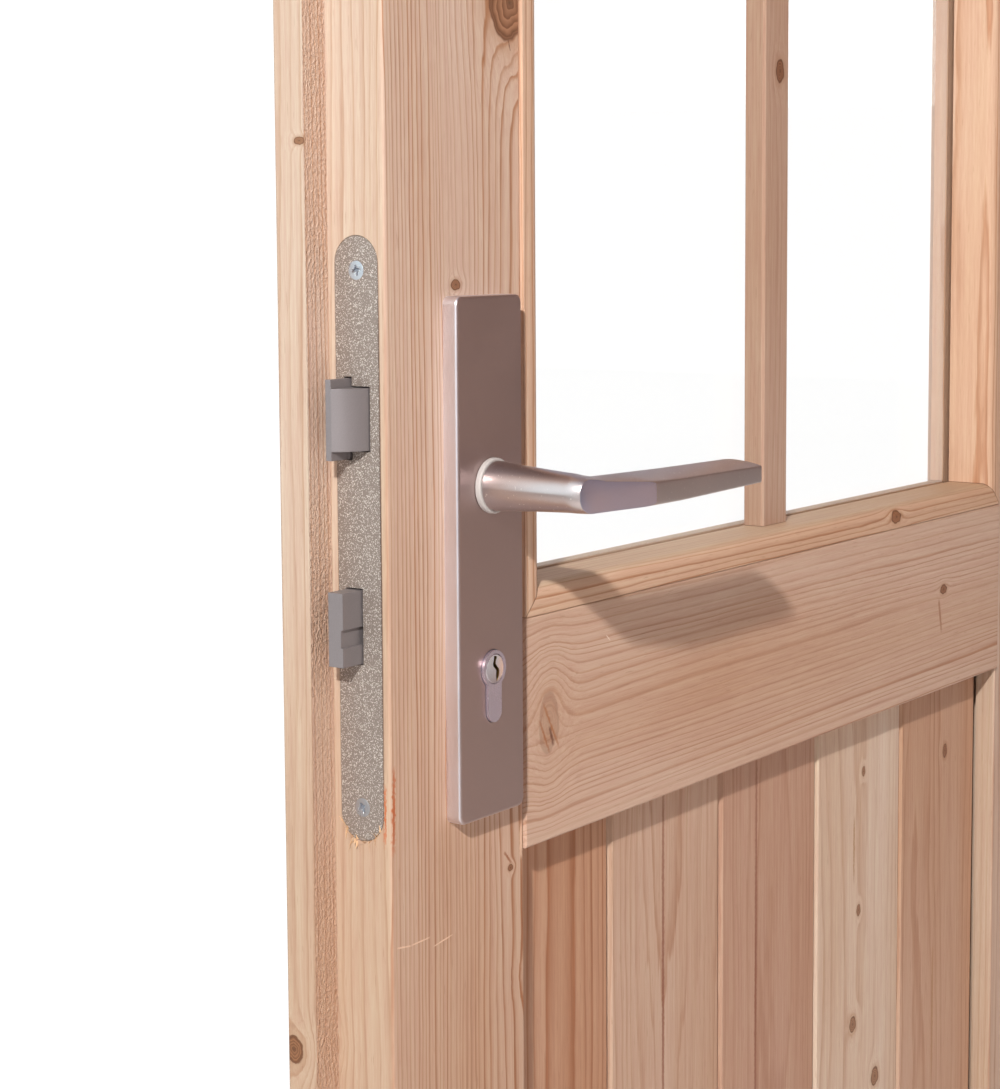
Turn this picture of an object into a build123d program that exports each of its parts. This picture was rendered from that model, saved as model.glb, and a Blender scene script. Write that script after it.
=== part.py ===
"""Half-glazed double door in its timber frame, with lock, levers, plates and bolts.

All sizes are in millimetres. The frame stands in the XZ plane: +X to the right
seen from inside the building, -Y to the outside, +Z up. The origin is the
middle of the sill's underside.

Pieces of a leaf are drawn in leaf coordinates: X from the meeting edge towards
the hinges, Y from the inside face to the outside face, Z up from the leaf's
bottom edge. The active leaf stands open at a right angle, the passive one is shut.
"""
import os
from math import cos, radians, sin

from build123d import *

os.makedirs("parts", exist_ok=True)

# Frame
frame_depth = 90.0
jamb_width = 56.0
head_height = 56.0
threshold_height = 40.0
threshold_slope = 8.0
threshold_slope_run = 24.0
frame_edge_round = 2.0
jamb_hole_radius = 4.0
jamb_hole_spacing = 450.0
jamb_hole_first = 230.0
jamb_hole_offset = 20.0
jamb_hole_count = 4

# Gaps round the leaves
hinge_gap = 4.0
meeting_gap = 4.0
head_gap = 4.0
sill_gap = 5.0
lip_gap = 1.0

# Leaf timber
leaf_thickness = 48.0
rebate_depth = 31.0
lip_width = 15.0
stile_width = 100.0
opening_width = 538.0
rail_proud = 1.8
leaf_height = 1780.0
top_rail_height = 98.0
mid_rail_height = 110.0
bottom_rail_height = 140.0
rail_below_spindle = 66.0
arris_round = 1.5
corner_round = 2.0

# Mortise and tenon joints
tenon_length = 40.0
tenon_thickness = 14.0
tenon_shoulder = 20.0
mid_tenon_height = 30.0
mid_tenon_lift = 13.0
mortise_end_gap = 1.0

# Tongue and groove boards
board_thickness = 19.0
board_recess = 13.0
board_pitch = 111.0
board_count = 5
last_joint_gap = 1.0
joint_chamfer = 3.0
tongue_length = 9.0
tongue_thickness = 6.0
tongue_clearance = 0.2
tongue_end_gap = 1.0
panel_groove_depth = 12.0
panel_edge_gap = 1.0

# Glazing
glass_thickness = 4.0
glass_edge_gap = 3.0
glass_plane = 28.0
bead_width = 14.0
bead_round = 7.0
mitre_gap = 0.15
outer_bead_depth = 13.0
outer_bead_chamfer = 4.0
muntin_width = 28.0
muntin_depth = 12.0
muntin_chamfer = 1.5
muntin_end_gap = 0.2

# Hinges
hinge_heights = (200.0, 890.0, 1580.0)
knuckle_radius = 7.5
knuckle_height = 34.0
knuckle_cap_round = 2.5
knuckle_gap = 0.5
pin_radius = 4.0
pin_height = 27.0
pin_clearance = 0.05
spigot_radius = 4.0
spigot_depth = 38.0
spigot_clearance = 0.05
hinge_axis_gap = 9.0

# Lock set out from the spindle
spindle_height = 960.0
backset = 65.0
cylinder_drop = 83.5
spindle_side = 8.0
spindle_clearance = 0.05
forend_length = 265.0
forend_width = 24.0
forend_thickness = 3.0
forend_drop = 20.0
forend_screw_inset = 15.0
forend_seat = 0.2
case_thickness = 17.0
case_back = 92.0
case_top = 60.0
case_bottom = -120.0
case_wall = 1.2
case_seat = 0.5
spindle_hole_radius = 11.0

# Latch
latch_rise = 33.5
latch_throw = 13.3
latch_near = 9.3
latch_far = 22.3
flange_height = 35.0
flange_thickness = 3.0
nose_height = 27.0
latch_block_back = 20.0
nose_bulge = 1.4
nose_bulge_reach = 8.2
tail_thickness = 2.4
tail_height = 10.0
lug_thickness = 5.0
lug_drop = 17.0
lug_gap = 0.5

# Deadbolt
bolt_drop = 57.3
bolt_height = 32.4
bolt_near = 14.5
bolt_far = 22.6
bolt_throw = 12.9
bolt_tail_back = 60.0
bolt_tail_height = 12.0
bolt_notch_depth = 1.1
bolt_notch_height = 7.9
bolt_notch_top = 16.0
guide_clearance = 0.6

# Follower turned by the levers
hub_radius = 10.0
hub_clearance = 0.08
hub_proud = 0.5
arm_reach = 26.0
arm_radius = 4.0
arm_width = 8.0

# Profile cylinder
cylinder_round = 17.0
cylinder_slot = 10.0
cylinder_height = 33.0
cylinder_proud = 1.5
cylinder_clearance = 0.3
plug_radius = 6.8
plug_clearance = 0.06
cam_radius = 13.5
cam_width = 9.0
cam_slot = 10.0
cam_finger = 8.0
keyway_width = 2.4
keyway_height = 8.0
keyway_depth = 12.0

# Handle plates
plate_width = 49.0
plate_length = 237.0
plate_thickness = 8.0
plate_rise = 85.5
plate_corner = 4.0
plate_edge_round = 1.5
plate_wall = 2.0
plate_screw_rise = 72.0
plate_screw_drop = 127.0
post_radius = 4.0
post_depth = 18.0
screw_grip = 10.0
post_seat = 0.3
screw_radius = 2.5
screw_clearance = 0.1
screw_head_radius = 5.0
screw_head_height = 3.0

# Collars and levers
collar_radius = 12.6
collar_height = 3.0
collar_edge_round = 0.8
shank_radius = 9.0
shank_clearance = 0.3
lever_gap = 0.3
neck_root_radius = 11.4
neck_middle_radius = 9.9
neck_middle_reach = 20.0
neck_tip_radius = 8.7
neck_sag = 0.8
neck_squareness = 0.97
lever_reach = 136.0
lever_front = 70.0
lever_axis = 62.0
lever_back = 55.5
lever_bend = 9.0
elbow_steps = 4
facet_start = (-9.5, 60.2)
facet_end = 41.0
socket_depth = 34.0
socket_end_gap = 2.0

# Lever sections: back, front, foot, ridge at the front, ridge at the back, corner round
grip_root = (7.6, 8.0, -9.3, 2.4, 7.0, 2.4)
grip_middle = (6.5, 8.0, -9.1, 0.9, 5.2, 1.0)
grip_end = (6.5, 8.0, -7.7, 0.5, 4.2, 1.0)
grip_middle_reach = 55.0
grip_tip_round = 12.0

# Strike plate in the passive leaf
strike_margin = 1.5
strike_pocket = 14.0

# Slide bolts on the passive leaf
slide_plate_width = 28.0
slide_plate_length = 120.0
slide_plate_thickness = 2.0
slide_rod_radius = 5.0
slide_rod_length = 150.0
slide_rod_stand = 8.5
slide_travel = 24.0
slide_end_gap = 4.0
slide_plate_inset = 10.0
slide_guide_inset = 8.0
slide_guide_width = 20.0
slide_guide_height = 12.0
slide_guide_depth = 13.0
slide_rod_chamfer = 1.0
slide_knob_radius = 4.0
slide_knob_length = 16.0
slide_clearance = 0.08
keeper_width = 26.0
keeper_length = 44.0
keeper_thickness = 2.0
keeper_hole_radius = 5.6
keeper_depth = 22.0

# Small screws
wood_screw_radius = 2.0
wood_screw_length = 30.0
wood_screw_head = 4.2
wood_screw_recess = 2.0
frame_screw_radius = 3.0
frame_screw_length = 110.0
frame_screw_head = 6.0
frame_screw_cap = 3.0
frame_screw_inset = 28.0
frame_screw_offset = 22.0

# Worked out from the sizes above
leaf_width = 2 * stile_width + opening_width
lip_thickness = leaf_thickness - rebate_depth
frame_half_inner = leaf_width + meeting_gap / 2 + hinge_gap
frame_half = frame_half_inner + jamb_width
leaf_floor = threshold_height + sill_gap
head_underside = leaf_floor + leaf_height + head_gap
frame_height = head_underside + head_height
frame_outside = -frame_depth / 2
leaf_inside = frame_outside - lip_gap + rebate_depth
hinge_x = leaf_width + lip_width + hinge_axis_gap
hinge_y = rebate_depth + lip_thickness / 2
hinge_row_x = meeting_gap / 2 + hinge_x
hinge_row_y = leaf_inside - hinge_y
mid_rail_top = spindle_height - rail_below_spindle
mid_rail_bottom = mid_rail_top - mid_rail_height
top_rail_bottom = leaf_height - top_rail_height
far_stile = stile_width + opening_width
lock_middle = rebate_depth / 2
forend_middle = spindle_height - forend_drop
cylinder_z = spindle_height - cylinder_drop
latch_z = spindle_height + latch_rise
bolt_z = spindle_height - bolt_drop
plate_middle = spindle_height + plate_rise - plate_length / 2
plate_screw_heights = (spindle_height + plate_screw_rise, spindle_height - plate_screw_drop)
forend_screw_heights = (
    forend_middle - forend_length / 2 + forend_screw_inset,
    forend_middle + forend_length / 2 - forend_screw_inset,
)
muntin_x = leaf_width / 2
muntin_z = (mid_rail_top + top_rail_bottom) / 2
board_joints = [
    far_stile - last_joint_gap - board_pitch * (board_count - 1 - n) for n in range(board_count)
]

rail_tenons = (
    (tenon_shoulder, bottom_rail_height - tenon_shoulder),
    (mid_rail_bottom + mid_tenon_lift, mid_rail_bottom + mid_tenon_lift + mid_tenon_height),
    (top_rail_bottom + tenon_shoulder, leaf_height - tenon_shoulder),
)
strike_openings = (
    ((latch_near - strike_margin, latch_z - flange_height / 2 - strike_margin),
     (latch_far + strike_margin, latch_z + flange_height / 2 + strike_margin)),
    ((bolt_near - strike_margin, bolt_z - bolt_height / 2 - strike_margin),
     (bolt_far + strike_margin, bolt_z + bolt_height / 2 + strike_margin)),
)
slide_row_x = meeting_gap / 2 + stile_width / 2
slide_row_y = leaf_inside + slide_rod_stand

active_seat = Location((-hinge_row_x + hinge_y, hinge_row_y - hinge_x, leaf_floor), (0, 0, 90))
passive_seat = Location((meeting_gap / 2, leaf_inside, leaf_floor))
UP = (Align.CENTER, Align.CENTER, Align.MIN)


def write(piece, name):
    """Label a finished piece and write its file."""
    piece.part.label = name
    export_step(piece.part, f"parts/{name}.step")


def hang_active(shape, name):
    """Carry a leaf piece to the open active leaf."""
    with BuildPart() as piece:
        with Locations(active_seat):
            add(shape)
    write(piece, name)


def hang_passive(shape, name):
    """Carry a leaf piece, turned over left for right, to the shut passive leaf."""
    with BuildPart() as piece:
        with Locations(passive_seat):
            add(mirror(shape, about=Plane.XZ, mode=Mode.PRIVATE))
    write(piece, name)


def block(low, high, mode=Mode.ADD):
    """A square block between two corners."""
    size = [b - a for a, b in zip(low, high)]
    with Locations(tuple((a + b) / 2 for a, b in zip(low, high))):
        Box(*size, mode=mode)


def along_x(x):
    """Sketch plane across X: its axes are Y and Z."""
    return Plane(origin=(x, 0, 0), x_dir=(0, 1, 0), z_dir=(1, 0, 0))


def along_y(y):
    """Sketch plane across Y: its axes are X and -Z."""
    return Plane(origin=(0, y, 0), x_dir=(1, 0, 0), z_dir=(0, 1, 0))


def rod_x(x, y, z, radius, length, mode=Mode.ADD):
    """A round rod from a point towards +X."""
    with Locations((x, y, z)):
        Cylinder(radius, length, rotation=(0, 90, 0), align=UP, mode=mode)


def rod_y(x, y, z, radius, length, mode=Mode.ADD):
    """A round rod from a point towards +Y."""
    with Locations((x, y, z)):
        Cylinder(radius, length, rotation=(-90, 0, 0), align=UP, mode=mode)


def rod_z(x, y, z, radius, length, mode=Mode.ADD):
    """A round rod from a point towards +Z."""
    with Locations((x, y, z)):
        Cylinder(radius, length, align=UP, mode=mode)


# Frame timber


def frame_jamb(side):
    """Upright of the frame, drilled for its fixings and for the hinge spigots."""
    inner = side * frame_half_inner
    outer = side * frame_half
    with BuildPart() as jamb:
        with BuildSketch(Plane.XY) as outline:
            with Locations(((inner + outer) / 2, 0)):
                Rectangle(jamb_width, frame_depth)
            fillet(outline.vertices(), frame_edge_round)
        extrude(amount=head_underside)
        for n in range(jamb_hole_count):
            z = jamb_hole_first + n * jamb_hole_spacing
            rod_x(min(inner, outer) - 1, jamb_hole_offset, z,
                  jamb_hole_radius, jamb_width + 2, Mode.SUBTRACT)
        for height in hinge_heights:
            z = leaf_floor + height - (knuckle_height + knuckle_gap) / 2
            rod_y(side * hinge_row_x, frame_outside - 1, z,
                  spigot_radius + spigot_clearance, spigot_depth + 2, Mode.SUBTRACT)
        for y in (-frame_screw_offset, frame_screw_offset):
            x = side * (frame_half - frame_screw_inset)
            rod_z(x, y, frame_height - frame_screw_length, frame_screw_radius,
                  frame_screw_length, Mode.SUBTRACT)
    return jamb


def frame_head():
    """Head of the frame, over both jambs, with the top bolt's keeper let in below."""
    with BuildPart() as head:
        with BuildSketch(along_x(-frame_half)) as outline:
            with Locations((0, head_underside + head_height / 2)):
                Rectangle(frame_depth, head_height)
            fillet(outline.vertices(), frame_edge_round)
        extrude(amount=2 * frame_half)
        rod_z(slide_row_x, slide_row_y, head_underside - 1, keeper_hole_radius,
              keeper_depth + 1, Mode.SUBTRACT)
        block((slide_row_x - keeper_length / 2, slide_row_y - keeper_width / 2, head_underside - 1),
              (slide_row_x + keeper_length / 2, slide_row_y + keeper_width / 2,
               head_underside + keeper_thickness), Mode.SUBTRACT)
        for side in (-1, 1):
            for y in (-frame_screw_offset, frame_screw_offset):
                x = side * (frame_half - frame_screw_inset)
                rod_z(x, y, head_underside - 1, frame_screw_radius, head_height + 2, Mode.SUBTRACT)
                rod_z(x, y, frame_height - frame_screw_cap, frame_screw_head, frame_screw_cap + 1,
                      Mode.SUBTRACT)
    return head


def sill():
    """Threshold between the jambs, its outer edge sloped to shed water."""
    low = -frame_depth / 2
    with BuildPart() as threshold:
        with BuildSketch(along_x(-frame_half_inner)):
            with BuildLine():
                Polyline((low, 0), (-low, 0), (-low, threshold_height),
                         (low + threshold_slope_run, threshold_height),
                         (low, threshold_height - threshold_slope), close=True)
            make_face()
        extrude(amount=2 * frame_half_inner)
        rod_z(slide_row_x, slide_row_y, threshold_height - keeper_depth, keeper_hole_radius,
              keeper_depth + 1, Mode.SUBTRACT)
        block((slide_row_x - keeper_length / 2, slide_row_y - keeper_width / 2,
               threshold_height - keeper_thickness),
              (slide_row_x + keeper_length / 2, slide_row_y + keeper_width / 2,
               threshold_height + 1), Mode.SUBTRACT)
    return threshold


def bolt_keepers():
    """The two flush plates that the slide bolts enter, above and below."""
    with BuildPart() as keepers:
        for z in (head_underside, threshold_height - keeper_thickness):
            block((slide_row_x - keeper_length / 2, slide_row_y - keeper_width / 2, z),
                  (slide_row_x + keeper_length / 2, slide_row_y + keeper_width / 2,
                   z + keeper_thickness))
            rod_z(slide_row_x, slide_row_y, z - 1, keeper_hole_radius, keeper_thickness + 2,
                  Mode.SUBTRACT)
    return keepers


def frame_screws():
    """Long screws that hold the head down on the jambs."""
    with BuildPart() as screws:
        for side in (-1, 1):
            for y in (-frame_screw_offset, frame_screw_offset):
                x = side * (frame_half - frame_screw_inset)
                rod_z(x, y, frame_height - frame_screw_length, frame_screw_radius,
                      frame_screw_length)
                rod_z(x, y, frame_height - frame_screw_cap, frame_screw_head, frame_screw_cap)
    return screws


# Hinges


def hinge_posts(side):
    """Frame halves of the hinges: knuckle, standing pin and spigot in the jamb."""
    x = side * hinge_row_x
    with BuildPart() as posts:
        for height in hinge_heights:
            top = leaf_floor + height - knuckle_gap / 2
            rod_z(x, hinge_row_y, top - knuckle_height, knuckle_radius, knuckle_height)
            rod_z(x, hinge_row_y, top, pin_radius, pin_height)
            rod_y(x, hinge_row_y, top - knuckle_height / 2, spigot_radius,
                  frame_outside - hinge_row_y + spigot_depth)
    return posts


def hinge_knuckles():
    """Leaf halves of the hinges: capped knuckle and spigot in the leaf's lip."""
    with BuildPart() as knuckles:
        for height in hinge_heights:
            low = height + knuckle_gap / 2
            with BuildSketch(Plane.XZ.offset(-hinge_y)) as cap:
                with Locations((hinge_x, low)):
                    Rectangle(knuckle_radius, knuckle_height, align=(Align.MIN, Align.MIN))
                outer_top = cap.vertices().group_by(Axis.Z)[-1].sort_by(Axis.X)[-1]
                fillet(outer_top, knuckle_cap_round)
            revolve(axis=Axis((hinge_x, hinge_y, 0), (0, 0, 1)))
            reach = hinge_axis_gap + spigot_depth
            rod_x(hinge_x - reach, hinge_y, low + knuckle_height / 2, spigot_radius, reach)
        for height in hinge_heights:
            rod_z(hinge_x, hinge_y, height - 1, pin_radius + pin_clearance,
                  pin_height + 2, Mode.SUBTRACT)
    return knuckles


# Leaf timber


def stile_blank(width):
    """A stile with its lip along the outer edge and over the top, at the meeting edge."""
    with BuildPart() as blank:
        with BuildSketch(Plane.XY) as body:
            with BuildLine():
                Polyline((0, 0), (width, 0), (width, leaf_thickness), (-lip_width, leaf_thickness),
                         (-lip_width, rebate_depth), (0, rebate_depth), close=True)
            make_face()
            ends = body.vertices().group_by(Axis.Y)
            fillet(ends[0].sort_by(Axis.X)[0], corner_round)
            fillet(body.vertices().group_by(Axis.Y)[0].sort_by(Axis.X)[-1], arris_round)
            fillet(body.vertices().group_by(Axis.Y)[-1], arris_round)
        extrude(amount=leaf_height + lip_width)
        block((-lip_width - 1, -1, leaf_height),
              (width + 1, rebate_depth, leaf_height + lip_width + 1), Mode.SUBTRACT)
    return blank


def cut_joinery(edge, inward):
    """Groove for the boards and mortises for the rails, in a stile's inner edge."""
    ends = sorted((edge, edge + inward * panel_groove_depth))
    block((ends[0], board_recess, bottom_rail_height - panel_groove_depth),
          (ends[1], board_recess + board_thickness, mid_rail_bottom + panel_groove_depth),
          Mode.SUBTRACT)
    ends = sorted((edge, edge + inward * (tenon_length + mortise_end_gap)))
    for low, high in rail_tenons:
        block((ends[0], lock_middle - tenon_thickness / 2, low),
              (ends[1], lock_middle + tenon_thickness / 2, high), Mode.SUBTRACT)


def lock_stile():
    """Active leaf's meeting stile, mortised for the lock, levers and cylinder."""
    with BuildPart() as stile:
        add(stile_blank(stile_width).part)
        cut_joinery(stile_width, -1)
        with BuildSketch(along_x(0)):
            with Locations((lock_middle, forend_middle)):
                SlotOverall(forend_length, forend_width, rotation=90)
        extrude(amount=forend_thickness, mode=Mode.SUBTRACT)
        block((0, lock_middle - case_thickness / 2, spindle_height + case_bottom),
              (case_back + case_seat, lock_middle + case_thickness / 2, spindle_height + case_top),
              Mode.SUBTRACT)
        rod_y(backset, -1, spindle_height, spindle_hole_radius, leaf_thickness + 2, Mode.SUBTRACT)
        with BuildSketch(along_y(-1)):
            cylinder_profile(cylinder_clearance)
        extrude(amount=leaf_thickness + 2, mode=Mode.SUBTRACT)
        for z in plate_screw_heights:
            rod_y(backset, -1, z, post_radius + post_seat, leaf_thickness + 2, Mode.SUBTRACT)
        for z in forend_screw_heights:
            rod_x(0, lock_middle, z, wood_screw_radius, wood_screw_length, Mode.SUBTRACT)
    return stile


def meeting_stile():
    """Passive leaf's meeting stile: counter rebate outside, strike let into the edge."""
    with BuildPart() as stile:
        with BuildSketch(Plane.XY) as body:
            with BuildLine():
                Polyline((0, 0), (stile_width, 0), (stile_width, leaf_thickness),
                         (lip_width, leaf_thickness), (lip_width, rebate_depth - lip_gap),
                         (0, rebate_depth - lip_gap), close=True)
            make_face()
            fillet(body.vertices().group_by(Axis.Y)[0], arris_round)
            fillet(body.vertices().group_by(Axis.Y)[-1], arris_round)
        extrude(amount=leaf_height + lip_width)
        block((-1, -1, leaf_height),
              (stile_width + 1, rebate_depth, leaf_height + lip_width + 1), Mode.SUBTRACT)
        cut_joinery(stile_width, -1)
        with BuildSketch(along_x(0)):
            with Locations((lock_middle, forend_middle)):
                SlotOverall(forend_length, forend_width, rotation=90)
        extrude(amount=forend_thickness, mode=Mode.SUBTRACT)
        for low, high in strike_openings:
            block((0, low[0], low[1]), (strike_pocket, high[0], high[1]), Mode.SUBTRACT)
        for z in forend_screw_heights:
            rod_x(0, lock_middle, z, wood_screw_radius, wood_screw_length, Mode.SUBTRACT)
    return stile


def hinge_stile():
    """Stile at the hinges, with its lip outwards and the spigot holes in the lip."""
    with BuildPart() as stile:
        mirror(stile_blank(stile_width).part, about=Plane.YZ.offset(leaf_width / 2))
        cut_joinery(far_stile, 1)
        for height in hinge_heights:
            z = height + (knuckle_gap + knuckle_height) / 2
            edge = leaf_width + lip_width
            rod_x(edge - spigot_depth - 1, hinge_y, z, spigot_radius + spigot_clearance,
                  spigot_depth + 2, Mode.SUBTRACT)
    return stile


def rail(bottom, top, tenon, groove_at=None, lip=0.0):
    """A rail a little proud of the stiles, tenoned at both ends, grooved for the boards."""
    with BuildPart() as beam:
        with BuildSketch(along_x(stile_width)) as outline:
            with Locations(((leaf_thickness - rail_proud) / 2, (bottom + top) / 2)):
                Rectangle(leaf_thickness + rail_proud, top - bottom)
            fillet(outline.vertices(), arris_round)
        extrude(amount=opening_width)
        if lip:
            block((stile_width, rebate_depth, top - lip), (far_stile, leaf_thickness, top + lip))
        block((stile_width - tenon_length, lock_middle - tenon_thickness / 2, tenon[0]),
              (far_stile + tenon_length, lock_middle + tenon_thickness / 2, tenon[1]))
        if groove_at is not None:
            block((stile_width, board_recess, groove_at - panel_groove_depth),
                  (far_stile, board_recess + board_thickness, groove_at + panel_groove_depth),
                  Mode.SUBTRACT)
    return beam


def board(number):
    """One tongue and groove board: V joint inside, groove towards the lock, tongue beyond."""
    near = board_joints[number - 1] if number else stile_width - panel_groove_depth + panel_edge_gap
    far = board_joints[number]
    front = board_recess
    back = board_recess + board_thickness
    middle = (front + back) / 2
    tongue = tongue_thickness / 2
    groove = tongue + tongue_clearance
    depth = tongue_length + tongue_end_gap
    with BuildPart() as plank:
        with BuildSketch(Plane.XY.offset(bottom_rail_height - panel_groove_depth)):
            with BuildLine():
                if number:
                    Polyline((near + joint_chamfer, front), (near, front + joint_chamfer),
                             (near, middle - groove), (near + depth, middle - groove),
                             (near + depth, middle + groove), (near, middle + groove),
                             (near, back))
                else:
                    Polyline((near, front), (near, back))
                start = (near + joint_chamfer, front) if number else (near, front)
                Polyline((near, back), (far, back), (far, middle + tongue),
                         (far + tongue_length, middle + tongue),
                         (far + tongue_length, middle - tongue), (far, middle - tongue),
                         (far, front + joint_chamfer), (far - joint_chamfer, front), start)
            make_face()
        extrude(amount=mid_rail_bottom - bottom_rail_height + 2 * panel_groove_depth
                - panel_edge_gap)
    return plank


# Glazing


def glass_pane():
    """Single pane between the two rows of beads."""
    with BuildPart() as pane:
        block((stile_width + glass_edge_gap, glass_plane, mid_rail_top + glass_edge_gap),
              (far_stile - glass_edge_gap, glass_plane + glass_thickness,
               top_rail_bottom - glass_edge_gap))
    return pane


def bead_frame(front, back, round_edge):
    """Four mitred glazing beads round the glass, lengths of one moulding."""
    low = (stile_width, mid_rail_top)
    high = (far_stile, top_rail_bottom)
    lengths = []
    for side in range(4):
        level = side % 2
        start, end = (low[level] + mitre_gap, high[level] - mitre_gap)
        foot = low[1 - level] if side < 2 else high[1 - level]
        inset = bead_width if side < 2 else -bead_width
        corners = [(start, foot), (end, foot), (end - bead_width, foot + inset),
                   (start + bead_width, foot + inset)]
        if level:
            corners = [(z, x) for x, z in corners]
        with BuildPart() as bead:
            with BuildSketch(along_y(front)):
                with BuildLine():
                    Polyline([(x, -z) for x, z in corners], close=True)
                make_face()
            extrude(amount=back - front)
            round_edge(bead.edges().sort_by_distance((muntin_x, (front + back) / 2, muntin_z)))
        lengths.append(bead.part)
    with BuildPart() as beads:
        add(lengths)
    return beads


def inside_bead_edge(edges):
    """Round the inside bead's arris over to the glass."""
    front = edges.group_by(Axis.Y)[0].sort_by(SortBy.LENGTH)
    fillet(front[-2], bead_round)


def outside_bead_edge(edges):
    """Slope the outside bead's arris so that water runs off it."""
    back = edges.group_by(Axis.Y)[-1].sort_by(SortBy.LENGTH)
    chamfer(back[-2], outer_bead_chamfer)


def muntin_bar(plane, length):
    """A glazing bar with chamfered front edges, its length along the plane's normal."""
    with BuildPart() as bar:
        with BuildSketch(plane) as profile:
            Rectangle(muntin_width, muntin_depth)
            chamfer(profile.vertices().group_by(Axis.Y)[0], muntin_chamfer)
        extrude(amount=length)
    return bar


def muntin_upright():
    """Upright glazing bar, halved in front where the cross bar passes."""
    low = mid_rail_top + bead_width + muntin_end_gap
    high = top_rail_bottom - bead_width - muntin_end_gap
    middle = glass_plane - muntin_depth / 2
    with BuildPart() as bar:
        add(muntin_bar(Plane(origin=(muntin_x, middle, low)), high - low).part)
        block((muntin_x - muntin_width, middle - muntin_depth, muntin_z - muntin_width / 2),
              (muntin_x + muntin_width, middle, muntin_z + muntin_width / 2), Mode.SUBTRACT)
    return bar


def muntin_cross():
    """Cross glazing bar, halved behind where the upright passes."""
    low = stile_width + bead_width + muntin_end_gap
    high = far_stile - bead_width - muntin_end_gap
    middle = glass_plane - muntin_depth / 2
    seat = Plane(origin=(low, middle, muntin_z), x_dir=(0, 0, -1), z_dir=(1, 0, 0))
    with BuildPart() as bar:
        add(muntin_bar(seat, high - low).part)
        block((muntin_x - muntin_width / 2, middle, muntin_z - muntin_width),
              (muntin_x + muntin_width / 2, middle + muntin_depth, muntin_z + muntin_width),
              Mode.SUBTRACT)
    return bar


# Lock


def cylinder_profile(growth=0.0):
    """Round head over a narrow slot, drawn on a plane across Y at the cylinder."""
    radius = cylinder_round / 2
    foot = cylinder_height - cylinder_round / 2 - cylinder_slot / 2
    with Locations((backset, -cylinder_z)):
        Circle(radius + growth)
    with Locations((backset, -cylinder_z + foot / 2)):
        Rectangle(cylinder_slot + 2 * growth, foot)
    with Locations((backset, -cylinder_z + foot)):
        Circle(cylinder_slot / 2 + growth)


def forend():
    """Rounded plate on the leaf's edge, open for the latch and the deadbolt."""
    gap = guide_clearance
    with BuildPart() as plate:
        with BuildSketch(along_x(0)):
            with Locations((lock_middle, forend_middle)):
                SlotOverall(forend_length - 2 * forend_seat, forend_width - 2 * forend_seat,
                            rotation=90)
        extrude(amount=forend_thickness)
        block((-1, latch_far - flange_thickness - gap, latch_z - flange_height / 2 - gap),
              (forend_thickness + 1, latch_far + gap, latch_z + flange_height / 2 + gap),
              Mode.SUBTRACT)
        block((-1, latch_near - gap, latch_z - nose_height / 2 - gap),
              (forend_thickness + 1, latch_far, latch_z + nose_height / 2 + gap), Mode.SUBTRACT)
        block((-1, bolt_near - gap, bolt_z - bolt_height / 2 - gap),
              (forend_thickness + 1, bolt_far + gap, bolt_z + bolt_height / 2 + gap),
              Mode.SUBTRACT)
        for z in forend_screw_heights:
            rod_x(-1, lock_middle, z, wood_screw_radius, forend_thickness + 2, Mode.SUBTRACT)
            rod_x(-1, lock_middle, z, wood_screw_head, wood_screw_recess + 1, Mode.SUBTRACT)
    return plate


def edge_screws():
    """The two countersunk wood screws through an edge plate."""
    with BuildPart() as screws:
        for z in forend_screw_heights:
            rod_x(0, lock_middle, z, wood_screw_head, wood_screw_recess)
            rod_x(wood_screw_recess, lock_middle, z, wood_screw_radius,
                  wood_screw_length - wood_screw_recess)
    return screws


def lock_case():
    """Folded case behind the forend, with journals for the follower and the cylinder."""
    low = (forend_thickness, lock_middle - case_thickness / 2, spindle_height + case_bottom)
    high = (case_back, lock_middle + case_thickness / 2, spindle_height + case_top)
    with BuildPart() as case:
        block(low, high)
        block((forend_thickness - 1, low[1] + case_wall, low[2] + case_wall),
              (case_back - case_wall, high[1] - case_wall, high[2] - case_wall), Mode.SUBTRACT)
        rod_y(backset, low[1] - 1, spindle_height, hub_radius + hub_clearance,
              case_thickness + 2, Mode.SUBTRACT)
        with BuildSketch(along_y(low[1] - 1)):
            cylinder_profile(cylinder_clearance)
        extrude(amount=case_thickness + 2, mode=Mode.SUBTRACT)
    return case


def latch():
    """Sprung latch: tall flange behind, bevelled nose in front, tail to the follower."""
    back = latch_block_back
    flange = latch_far - flange_thickness
    tail = latch_far - tail_thickness
    lug = backset + arm_radius + lug_gap
    with BuildPart() as piece:
        with BuildSketch(Plane.XY.offset(latch_z - nose_height / 2)):
            with BuildLine():
                ThreePointArc((-latch_throw, flange),
                              (-nose_bulge_reach, (latch_near + flange) / 2 - nose_bulge),
                              (0, latch_near))
                Polyline((0, latch_near), (back, latch_near), (back, flange),
                         (-latch_throw, flange))
            make_face()
        extrude(amount=nose_height)
        block((-latch_throw, flange, latch_z - flange_height / 2),
              (back, latch_far, latch_z + flange_height / 2))
        block((back - 1, tail, latch_z - tail_height / 2),
              (lug + lug_thickness, latch_far, latch_z + tail_height / 2))
        block((lug, lock_middle - arm_width / 2, latch_z - lug_drop),
              (lug + lug_thickness, latch_far, latch_z + tail_height / 2))
    return piece


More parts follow.
